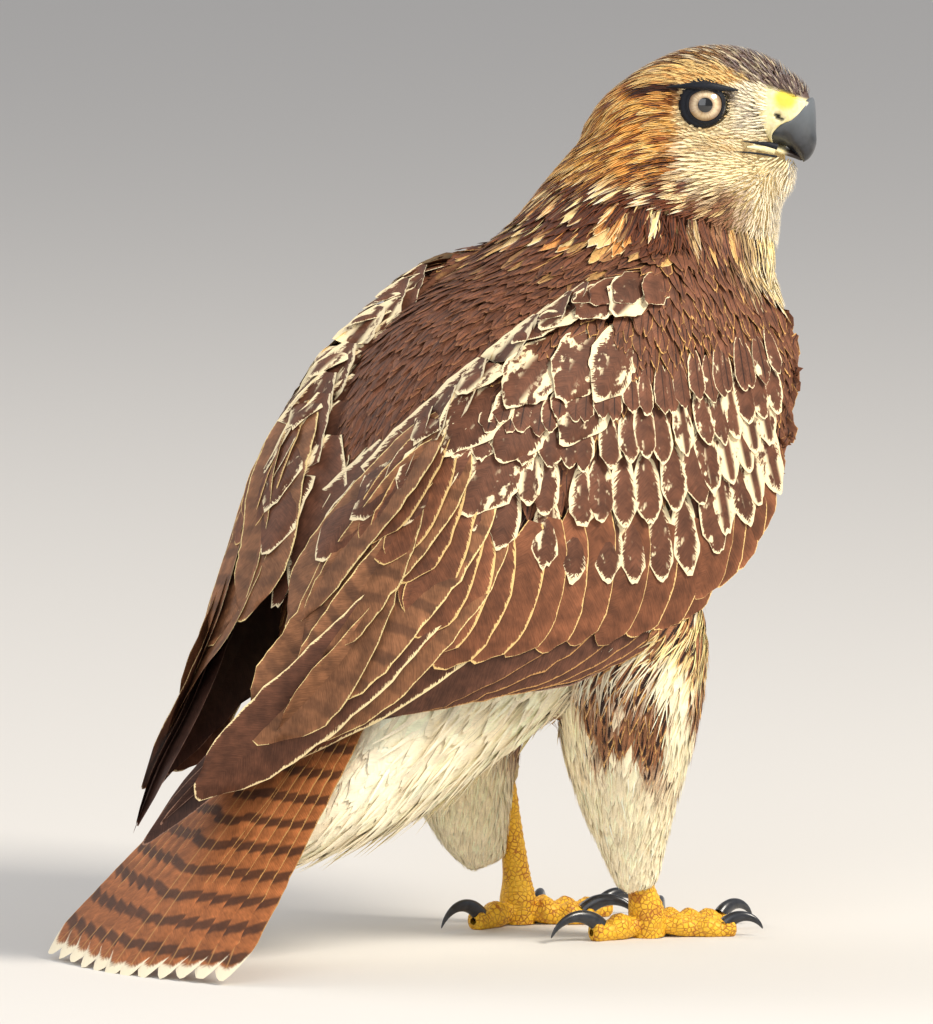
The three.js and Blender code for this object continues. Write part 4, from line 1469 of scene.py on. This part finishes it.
def scapulars(coat, side):
    for i, row in enumerate(SCAPULAR_ROWS):
        tips = along_line(row["tips"], row["count"], 130 + i, 2.0)
        n = len(tips)
        rng = np.random.default_rng(140 + i)
        length = row["length"] * rng.uniform(0.94, 1.08, n)
        roots = tips - np.stack([length, SCAPULAR_LEAN * length], 1)
        roots[:, 1] = np.clip(roots[:, 1], -0.2, 1)
        shafts, ups = wing_shafts(side, roots, tips, 12, -4.2, 2.6 + 0.18 * i)
        marks = (row["edge"], 0, 0.05, row["pale"])
        look = wing_look(n, blend(BROWN, UMBER, 0.15), SCALLOP, marks, 150 + i)
        vanes(coat, shafts, ups, row["half"] * rng.uniform(0.94, 1.06, n), look, ROUND, columns=6,
              arch=0.13, ragged=0.05, seed=160 + i, patch=LARGE_PATCH)


def wing_coat(roots, side):
    coat = Coat(roots)
    greater_coverts(coat, side)
    covert_rows(coat, side)
    lesser_coverts(coat, side)
    scapulars(coat, side)
    return coat


# Tail: twelve feathers in a fan, the middle pair on top

TAIL_HALF = curve((185, 27), (240, 38), (300, 50), (360, 64), (388, 72), (400, 69), (408, 55))
TAIL_LINE = curve((185, -14), (240, -21), (300, -25), (360, -28), (408, -31))
TAIL_ARCH = 5
TAIL_SWING = 13
TAIL_START = 185
TAIL_WIDEST = 388
TAIL_STRIPS = 14
TAIL_ROWS = 34
TAIL_COLUMNS = 6
TAIL_PAIRS = 6


def tail_point(s, v, lift):
    """A place on the tail's upper face, v being across it from -1 to 1."""
    level = TAIL_LINE(s) - TAIL_ARCH * v * v + lift
    swing = TAIL_SWING * (s - TAIL_START) / 220
    return body_point(s, v * TAIL_HALF(np.minimum(s, TAIL_WIDEST)) + swing, level)


def tail_feather(coat, strip, rank, sign):
    """One feather, its rank being counted from the middle pair, on a strip of the map."""
    k = np.linspace(0, 1, TAIL_ROWS)
    s = np.linspace(190, 405 - 2.2 * rank, TAIL_ROWS)
    v = sign * (0.08 + 0.79 * rank / 5) * (0.55 + 0.45 * k)
    lift = 2.2 - 0.42 * rank
    shafts = tail_point(s, v, lift)[None]
    side = tail_point(s, v + 0.02, lift) - tail_point(s, v - 0.02, lift)
    ups = unit(np.cross(np.gradient(shafts[0], axis=0), side))
    ups = (ups * np.sign(dot(ups, DORSAL))[:, None])[None]
    look = wing_look(1, TAIL_RED, blend(BUFF, RUFOUS, 0.3), (0.5, 0, 0.8, 0), 170 + strip, 0.04)
    look[2][0, 2] = 0.8
    vanes(coat, shafts, ups, 17.5, look, FLIGHT, TAIL_COLUMNS, arch=0.05, ragged=0.02, skew=0.12 * sign,
          seed=180 + strip, uv=flight_uv(1, TAIL_ROWS, TAIL_COLUMNS, strip, TAIL_STRIPS))


def tail_coat(roots):
    coat = Coat(roots)
    order = [(rank, sign) for rank in reversed(range(TAIL_PAIRS)) for sign in (1, -1)]
    for strip, (rank, sign) in enumerate(order):
        tail_feather(coat, strip, rank, sign)
    return coat


# Rings and limbs for the bare parts

def ring_places(centre, side, up, half, above, below, count, power=2.0):
    """Places round an oval whose heights above and below its centre may differ."""
    angle = 2 * math.pi * (np.arange(count) + 0.5) / count
    sine, cosine = np.sin(angle), np.cos(angle)
    across = np.sign(sine) * np.abs(sine) ** (2 / power) * half
    reach = np.where(cosine > 0, above, below)
    along = np.sign(cosine) * np.abs(cosine) ** (2 / power) * reach
    return centre + across[:, None] * side + along[:, None] * up


def limb_rings(keys, sides, count, squash=1.0, relief=None):
    """Rings along keyed points of x, y, z and radius, raised by a relief of t and of the way outwards."""
    keys = np.array(keys, float)
    last = len(keys) - 1
    at = [curve(*zip(range(last + 1), keys[:, k])) for k in range(4)]

    def place(t):
        return np.array([float(at[k](t)) for k in range(3)])
    rings = []
    for t in np.linspace(0, last, count):
        ahead = unit(place(min(t + 0.05, last)) - place(max(t - 0.05, 0)))
        side = unit(np.cross(ACROSS, ahead))
        up = unit(np.cross(ahead, side))
        radius = float(at[3](t))
        ring = ring_places(place(t), side, up, radius * squash, radius, radius, sides)
        if relief:
            out = ring - place(t)
            ring = ring + unit(out) * relief(t / last, unit(out))[:, None]
        rings.append(ring)
    return rings


# Bill, on rays from a pivot at the corner of the mouth

BILL_PIVOT = {"forward": 38, "up": -24}
BILL_TIP = -13
BILL_END = 100
BILL_SIDES = 96
BILL_RINGS = 70
HORN_SINK = 3.6
CULMEN = curve((-13, 12.9), (-5, 15.0), (15, 18.7), (34, 21.8), (47, 26.3), (59, 32.5), (70, 38),
               (80, 40.5), (104, 41))
TOMIUM = curve((-13, 12.5), (-6, 10.6), (4, 9), (16, 7.4), (40, 6.2), (80, 5.6), (104, 6))
BILL_HALF = curve((-13, 0.5), (-5, 2.6), (10, 5.2), (34, 7.6), (59, 9.4), (80, 10.8), (104, 12.4))
CERE_LINE = curve((0, 103), (0.12, 98), (0.26, 82), (0.42, 67), (0.6, 61), (0.85, 59), (1, 58))
CERE_PATCH = {"forward": 43.7, "up": 3.9, "radius": 5.5}
CERE_STEP = 0.4
CERE_BULGE = 0.5
CERE_SINK = 2.6
CERE_END = 108
NOSTRIL = {"forward": 40.5, "up": -5.2, "long": 2.9, "short": 1.15, "lean": -38, "depth": 2.2}


def bill_place(degrees, around, grow=0.0):
    """A place on the upper bill, around being the angle from its ridge."""
    low_r, high_r = TOMIUM(degrees), CULMEN(degrees)
    half = (high_r - low_r) / 2
    angle = np.radians(degrees)
    ray = np.cos(angle)[..., None] * FORWARD + np.sin(angle)[..., None] * UP
    cosine, sine = np.cos(around), np.sin(around)
    reach = low_r + half + np.sign(cosine) * np.abs(cosine) ** 0.95 * (half + grow)
    across = np.sign(sine) * np.abs(sine) ** 0.92 * (BILL_HALF(degrees) + grow)
    pivot = head_point(BILL_PIVOT["forward"], 0, BILL_PIVOT["up"])
    return pivot + reach[..., None] * ray + across[..., None] * HEAD_LEFT


def cere_cover(p):
    """One where the feathers of the forehead lie over the cere, which sinks there and takes a grey brown
    painted shade.
    """
    f, _, u = head_place(p)
    return smooth(u + 0.36 * (f - 37.4), 7.6, 9.2)


def nostril_weight(p):
    """One in the nostril, a leaning oval on both sides of the cere, which is sunk there and painted near
    black as shade.
    """
    f, _, u = head_place(p)
    lean = math.radians(NOSTRIL["lean"])
    df, du = f - NOSTRIL["forward"], u - NOSTRIL["up"]
    a = (df * math.cos(lean) + du * math.sin(lean)) / NOSTRIL["long"]
    b = (-df * math.sin(lean) + du * math.cos(lean)) / NOSTRIL["short"]
    return 1 - smooth(np.sqrt(a * a + b * b), 0.65, 1.15)


def bill_turns():
    """The angles of a ring's places round the bill, and how near each one is to the ridge."""
    around = (np.arange(BILL_SIDES) + 0.5) / BILL_SIDES * 2 * math.pi
    return around, (np.cos(around) + 1) / 2


def add_upper_bill():
    """The hooked horn, which goes on inside the cere."""
    around, fraction = bill_turns()
    rings = []
    for degrees in np.linspace(BILL_TIP, BILL_END, BILL_RINGS):
        covered = smooth(degrees - CERE_LINE(fraction), 0, 5)
        rings.append(bill_place(np.full(BILL_SIDES, degrees), around, -HORN_SINK * covered))
    solid = loft(rings)
    pale = smooth(head_place(solid[0])[2], -22, 0) * 0.6
    add_bare("bill_upper", solid, horn_material("bill_horn"), ["bill_upper"],
             np.stack([pale] * 3, 1))


def add_cere():
    around, fraction = bill_turns()
    ridge = smooth(np.cos(around), 0.55, 0.95)
    rings = []
    for k in np.linspace(0, 1, BILL_RINGS):
        degrees = CERE_LINE(fraction) * (1 - k) + CERE_END * k
        swell = CERE_STEP * math.sqrt(min(k / 0.06, 1)) + CERE_BULGE * math.exp(-((k - 0.25) / 0.2) ** 2)
        swollen = bill_place(degrees, around, swell)
        ring = swollen + (bill_place(degrees, around, 0) - swollen) * ridge[:, None] * 1.3
        ring = ring + (bill_place(degrees, around, -CERE_SINK) - ring) * cere_cover(ring)[:, None]
        pit = nostril_weight(ring) * NOSTRIL["depth"]
        side = np.sign(dot(ring - HEAD_CENTRE, HEAD_LEFT))
        rings.append(ring - (pit * side)[:, None] * HEAD_LEFT)
    solid = loft(rings)
    f, _, u = head_place(solid[0])
    gap = np.hypot(f - CERE_PATCH["forward"], u - CERE_PATCH["up"]) / CERE_PATCH["radius"]
    bright = 1 - smooth(gap, 0.6, 1.3)
    # The first value paints painted shade, near black, in the nostril.
    # The third value paints painted shade, grey brown, where the forehead's feathers lie over the cere.
    shape = np.stack([nostril_weight(solid[0]), bright, cere_cover(solid[0])], 1)
    add_bare("cere", solid, cere_material(), ["cere"], shape)


LOWER_BILL = {"level": curve((28, -18.6), (34, -19.8), (38, -20.8), (42, -22.0), (46, -23.4), (49, -24.6)),
              "half": curve((28, 9.5), (34, 9.6), (38, 9.2), (42, 7.6), (46, 5.0), (49, 2.0)),
              "above": 1.5, "below": 1.8}


def add_lower_bill():
    """A thin pale plate, dark towards its tip."""
    rings = []
    for f in np.linspace(28, 49.2, 30):
        centre = head_point(f, 0, LOWER_BILL["level"](f))
        rings.append(ring_places(centre, HEAD_LEFT, UP, LOWER_BILL["half"](f), LOWER_BILL["above"],
                                 LOWER_BILL["below"], 32))
    solid = loft(rings)
    dull = smooth(head_place(solid[0])[0], 41, 45)
    add_bare("bill_lower", solid, cere_material(), ["bill_lower"],
             np.stack([dull * 0.8, 0 * dull, dull], 1))


def face_tube(side, forward, line, rise, radius):
    """A tube that lies on the side of the face along a line of heights."""
    keys = []
    for f, r in zip(forward, radius):
        start = head_point(f, side * 60, line(f) + rise)
        at, up = shell.tree.ray_cast(Vector(start), Vector(-side * HEAD_LEFT))[:2]
        if at is not None:
            keys.append([*(np.array(at) - np.array(up) * r * 0.5), r])
    return loft(limb_rings(keys, 10, 24))


# The mouth's corner: a pale rim, with a dark line of painted shade in the mouth's slit over it and a dark
# line of painted shadow under the lower bill below it

GAPE_RIM = {"forward": (27, 31, 35, 39), "line": MOUTH_LINE, "rise": -1.9, "radius": (0.4, 1.2, 1.5, 1.6)}
# A dark tube of painted shade in the slit between the bills.
MOUTH_SLIT = {"forward": (25, 28, 31, 34, 37, 40), "line": MOUTH_LINE, "rise": 0.4,
              "radius": (0.15, 0.4, 0.7, 1.0, 1.4, 1.8)}
# A dark tube of painted shadow under the lower bill, along the chin's line.
CHIN_SHADOW = {"forward": (22, 28, 34, 40), "line": CHIN_LINE, "rise": 0.3, "radius": (0.12, 0.45, 0.5, 0.5)}


def add_gape():
    rims = join([face_tube(side, **GAPE_RIM) for side in SIDES.values()])
    add_bare("gape", rims, cere_material(), shape=np.zeros((len(rims[0]), 3)))
    # Both lines are dark tubes of painted shade, in the lids' dark material.
    lines = [face_tube(side, **line) for side in SIDES.values() for line in (MOUTH_SLIT, CHIN_SHADOW)]
    add_bare("mouth_painted_shade", join(lines), lid_material())


# Eyes, their lids and the brow

LID_OPENING = 7.9


def eye_axes(side):
    """An eye's centre, the way it looks, and the ways forward and up across that."""
    axis = unit(HEAD_LEFT * side + 0.2 * FORWARD + 0.03 * UP)
    ahead = unit(np.cross(UP, axis)) * side
    ahead = ahead if dot(ahead, FORWARD) > 0 else -ahead
    centre = head_point(EYE["forward"], side * EYE["side"], EYE["up"])
    return centre, axis, ahead, unit(np.cross(axis, ahead)) * -side


EYE_SIDES = 56
EYE_BACK = 20
CORNEA = {"radius": 8.4, "bulge": 0.9}


def add_eye(name, side):
    """A ball with a bulging cornea. Its values are the distance from its axis and the angle round it."""
    centre, axis, ahead, up = eye_axes(side)
    around = np.arange(EYE_SIDES) / EYE_SIDES * 2 * math.pi
    spoke = np.cos(around)[:, None] * ahead + np.sin(around)[:, None] * up
    lean = np.radians(np.concatenate([np.linspace(0.5, 60, 44), np.linspace(66, 178, 14)]))
    rings, values = [], []
    for a in lean:
        rho = EYE["radius"] * math.sin(a)
        front = a < 1.5
        bulge = CORNEA["bulge"] * (1 - min(rho / CORNEA["radius"], 1) ** 2) ** 1.5 if front else 0
        rings.append(centre + rho * spoke + (EYE["radius"] * math.cos(a) + bulge) * axis)
        reach = np.full(EYE_SIDES, rho if front else EYE_BACK)
        values.append(np.stack([reach, np.cos(around), np.sin(around)], 1))
    values.append(np.array([[0, 0, 0], [EYE_BACK, 0, 0]], float))
    add_bare(name, loft(rings), eye_material(), [name], np.concatenate(values))


# Steps of a lid outwards: the part of the way to its rim, its rise, and how far it lies on the head

LID_STEPS = [(-0.06, -0.9, 0), (0.0, 0.1, 0), (0.08, 0.5, 0), (0.25, 0.7, 0.1), (0.45, 0.6, 0.35),
             (0.7, 0.45, 0.7), (1.0, 0.2, 1), (1.15, -0.6, 1), (1.5, -2.4, 1)]
LID_SIDES = 72
CLEAR = 40


def lid_mesh(side):
    """A dark ring, wider behind the eye, which goes under the feathers at its outer edge."""
    centre, axis, ahead, up = eye_axes(side)
    around = np.arange(LID_SIDES) / LID_SIDES * 2 * math.pi
    spoke = np.cos(around)[:, None] * ahead + np.sin(around)[:, None] * up
    opening = LID_OPENING - 1.2 * smooth(np.sin(around), 0.35, 1.0)
    rings = []
    for k, rise, on_head in LID_STEPS:
        reach = opening * (1 - k) + RING_RADIUS * k
        place = spoke * reach[:, None] - ahead * RING_OFFSET * k
        rho = np.linalg.norm(place, axis=1)
        ball = np.sqrt(np.maximum(EYE["radius"] ** 2 - rho ** 2, 0))
        starts = centre + place + axis * CLEAR
        depths = [shell.tree.ray_cast(Vector(q), Vector(-axis))[3] or CLEAR - 10 for q in starts]
        height = ball * (1 - on_head) + (CLEAR - np.array(depths)) * on_head + rise
        rings.append(centre + place + height[:, None] * axis)
    rings = np.array(rings)
    return rings.reshape(-1, 3), strip_faces(len(rings), LID_SIDES, True)


BROW_KEYS = [(-10, 25.6, 9.4, 0.3), (-3, 27.2, 10.0, 1.1), (4, 28.0, 10.5, 1.8), (11, 27.0, 10.3, 1.9),
             (17, 23.8, 9.2, 1.4), (23, 20.2, 8.0, 0.4)]


def brow_mesh(side):
    """A dark ridge over the eye, along keys of the head's f, l and u and a radius. Its dark is partly the
    skin's own, like the lids, and partly painted shade that the brow casts over the eye.
    """
    keys = [[*head_point(f, side * l, u), radius] for f, l, u, radius in BROW_KEYS]
    return loft(limb_rings(keys, 14, 30))


def add_lids():
    add_bare("lids", join([lid_mesh(side) for side in SIDES.values()]), lid_material())
    # The brows take the lids' dark: partly the skin's own and partly painted shade under the brow.
    add_bare("brows", join([brow_mesh(side) for side in SIDES.values()]), lid_material())


# Bare legs, toes and claws

TARSUS_KEYS = {
    "right": [(-6, -42, 60, 5.2), (-3, -41.5, 40, 5.4), (3, -40.5, 24, 6.6), (7, -40, 11, 9.2),
              (8, -40, 0.4, 8.4)],
    "left": [(-20, 39, 92, 4.8), (-15, 38, 72, 5.2), (-11, 37.5, 46, 5.7), (-8, 37, 24, 6.9),
             (-7, 37, 11, 9.2), (-7, 37, 0.4, 8.4)],
}
TOES = {
    "hallux": {"length": 30, "radius": 5.8, "claw": 27, "heading": 172},
    "inner": {"length": 35, "radius": 5.7, "claw": 25, "heading": 42},
    "middle": {"length": 52, "radius": 5.4, "claw": 21, "heading": 5},
    "outer": {"length": 40, "radius": 5.0, "claw": 17, "heading": -36},
}
TOE_FLAT = 0.6
TOE_ROOT = 2
TOE_RINGS = 64
TOE_SIDES = 24
PHALANX = 13
SCUTE = 3.1
SCUTE_HEIGHT = 0.42
SOLE = 0.05
CLAW_ARC = math.radians(112)
CLAW_LEAN = math.radians(48)


def scutes(reach, facing):
    """Overlapping plates of a scute's length, with their free edges outwards."""
    saw = (reach / SCUTE) % 1
    return facing * SCUTE_HEIGHT * (saw ** 2 - 0.35)


def scaled_piece(name, rings):
    """A loft of rings pressed flat on the floor, with the skin of the legs."""
    rings = np.array(rings)
    rings[..., 2] = np.maximum(rings[..., 2], SOLE)
    add_bare(name, loft(rings), leg_material(), [name])


def add_tarsus(side):
    keys = TARSUS_KEYS[side]
    length = keys[0][2]

    def relief(t, out):
        return scutes(np.full(len(out), t * length), smooth(out[:, 0], 0.0, 0.6))
    scaled_piece(f"tarsus_{side}", limb_rings(keys, 28, 110, 0.9, relief))


def toe_heading(side, toe):
    angle = math.radians(toe["heading"]) * -SIDES[side]
    return np.array([math.cos(angle), math.sin(angle), 0])


def add_toe(side, key, toe):
    ahead = toe_heading(side, toe)
    across = np.cross(UP, ahead)
    knuckles = round(toe["length"] / PHALANX)
    rings = []
    for t in np.linspace(0, 1, TOE_RINGS):
        swell = 1 + 0.13 * math.cos(2 * math.pi * knuckles * t)
        taper = math.sqrt(max(1 - ((t - 0.9) / 0.1) ** 2, 0)) if t > 0.9 else 1
        radius = toe["radius"] * swell * (1 - 0.22 * t ** 3)
        height = 0.92 * radius - TOE_FLAT + 4 * (1 - t) ** 3
        reach = TOE_ROOT + (toe["length"] + 1.5 - TOE_ROOT) * t
        centre = FOOT[side] + ahead * reach + UP * height
        size = radius * (0.35 + 0.65 * taper)
        ring = ring_places(centre, across, UP, size, size, size, TOE_SIDES, 2.1)
        out = unit(ring - centre)
        plates = scutes(np.full(TOE_SIDES, reach), smooth(out[:, 2], 0.1, 0.6))
        rings.append(ring + out * plates[:, None])
    scaled_piece(f"toe_{side}_{key}", rings)


def add_claw(side, key, toe):
    ahead = toe_heading(side, toe)
    across = np.cross(UP, ahead)
    base = toe["radius"] * 0.72
    bend = toe["claw"] / (2 * math.sin(CLAW_ARC / 2))
    root = toe["radius"] + 0.8
    rings = []
    for t in np.linspace(0, 1, 40):
        turn = CLAW_LEAN - CLAW_ARC * t
        reach = bend * (math.sin(CLAW_LEAN) - math.sin(turn))
        rise = bend * (math.cos(turn) - math.cos(CLAW_LEAN))
        along = ahead * math.cos(turn) + UP * math.sin(turn)
        up = np.cross(along, across)
        radius = base * (1 - t) ** 0.75 + 0.2
        centre = FOOT[side] + ahead * (toe["length"] - 3 + reach)
        centre = centre + UP * max(root + rise, radius + 0.5)
        rings.append(ring_places(centre, across, up, radius * 0.72, radius, radius * 0.9, 20))
    solid = loft(rings)
    name = f"claw_{side}_{key}"
    add_bare(name, solid, horn_material("claw_horn"), [name], np.zeros((len(solid[0]), 3)))


# Camera, light and floor

CAMERA_TARGET = np.array([-27.664, 50.021, 195.384])
CAMERA_AZIMUTH = math.radians(-40)
CAMERA_ELEVATION = math.radians(6)
CAMERA_DISTANCE = 10.0
PHOTO_HEIGHT = 1024
PIXEL = 0.47 * MM
FRAME_HEIGHT = PHOTO_HEIGHT * PIXEL
SENSOR = 36
FLOOR_REACH = 12.0


def add_camera():
    data = bpy.data.cameras.new("camera")
    camera = bpy.data.objects.new("camera", data)
    bpy.context.scene.collection.objects.link(camera)
    flat = math.cos(CAMERA_ELEVATION)
    back = Vector((math.sin(CAMERA_AZIMUTH) * flat, -math.cos(CAMERA_AZIMUTH) * flat,
                   math.sin(CAMERA_ELEVATION)))
    camera.location = Vector(to_frame(CAMERA_TARGET)) + back * CAMERA_DISTANCE
    camera.rotation_mode = "QUATERNION"
    camera.rotation_quaternion = (-back).to_track_quat("-Z", "Y")
    data.sensor_fit = "VERTICAL"
    data.sensor_height = SENSOR
    data.sensor_width = SENSOR
    data.lens = SENSOR * CAMERA_DISTANCE / FRAME_HEIGHT
    data.clip_start = 0.1
    data.clip_end = 60
    bpy.context.scene.camera = camera


LIGHT_TARGET = (0, 0, 0.2)
LIGHTS = {
    "key": {"place": (0.9, -2.3, 2.3), "size": 1.0, "energy": 112, "colour": (1.0, 0.93, 0.82)},
    "fill": {"place": (-2.6, -1.6, 1.3), "size": 2.4, "energy": 34, "colour": (0.95, 0.97, 1.0)},
    "back": {"place": (-0.6, 2.6, 2.2), "size": 1.8, "energy": 34, "colour": (1.0, 0.96, 0.9)},
}
SKY = {"colour": (0.95, 0.96, 1.0, 1), "strength": 0.46}
FLOOR_COLOUR = (0.74, 0.72, 0.69)


def add_light(name, place, size, energy, colour):
    data = bpy.data.lights.new(name, "AREA")
    data.shape = "SQUARE"
    data.size = size
    data.energy = energy
    data.color = colour
    lamp = bpy.data.objects.new(name, data)
    lamp.location = Vector(place)
    lamp.rotation_mode = "QUATERNION"
    lamp.rotation_quaternion = (Vector(LIGHT_TARGET) - lamp.location).to_track_quat("-Z", "Y")
    bpy.context.scene.collection.objects.link(lamp)


def add_lights():
    for name, light in LIGHTS.items():
        add_light(name, **light)
    world = bpy.data.worlds.new("world")
    bpy.context.scene.world = world
    world.use_nodes = True
    sky = world.node_tree.nodes["Background"]
    sky.inputs["Color"].default_value = SKY["colour"]
    sky.inputs["Strength"].default_value = SKY["strength"]
    bpy.context.scene.view_settings.view_transform = "Standard"


def add_floor():
    mesh = bpy.data.meshes.new("floor")
    corners = [(x * FLOOR_REACH, y * FLOOR_REACH, 0) for x, y in ((-1, -1), (1, -1), (1, 1), (-1, 1))]
    mesh.from_pydata(corners, [], [(0, 1, 2, 3)])
    floor = bpy.data.objects.new("floor", mesh)
    bpy.context.scene.collection.objects.link(floor)
    g = Graph("floor")
    mesh.materials.append(g.finish(FLOOR_COLOUR, roughness=0.9, specular_ior_level=0.1))


# The whole bird

skin = make_skin()
roots = Roots(skin)
feather = feather_material()

head_coat(roots).piece("head_feathers", feather, "feathers_head")
neck_coat(roots).piece("neck_feathers", feather, "feathers_brown")
back_coat(roots).piece("back_feathers", feather, "feathers_brown")
breast_coat(roots).piece("breast_feathers", feather, "feathers_cream")
thigh_coat(roots).piece("thigh_feathers", feather, "feathers_cream")
vent_plumes(roots).piece("vent_plumes", feather, "feathers_cream")
leg_strands(roots).piece("thigh_plumes", feather, "feathers_cream")
body_strands(roots).piece("body_strands", feather, "feathers_brown")
for side in SIDES:
    wing_coat(roots, side).piece(f"wing_{side}_small_feathers", feather, "feathers_brown",
                                 [f"wing_{side}_coverts"])
    flight_coat(roots, side).piece(f"wing_{side}_flight_feathers", feather, "feathers_brown",
                                   [f"wing_{side}_secondaries", f"wing_{side}_primaries"])
barred_feather = feather_material("tail_feather", margin_scale=0.8, tip=0.03, shaft=0.45)
tail_coat(roots).piece("tail_feathers", barred_feather, "feathers_rufous", ["tail"])

add_upper_bill()
add_cere()
add_lower_bill()
add_gape()
add_lids()
for side, sign in SIDES.items():
    add_eye(f"eye_{side}", sign)
    add_tarsus(side)
    for key, toe in TOES.items():
        add_toe(side, key, toe)
        add_claw(side, key, toe)

add_camera()
add_lights()
add_floor()
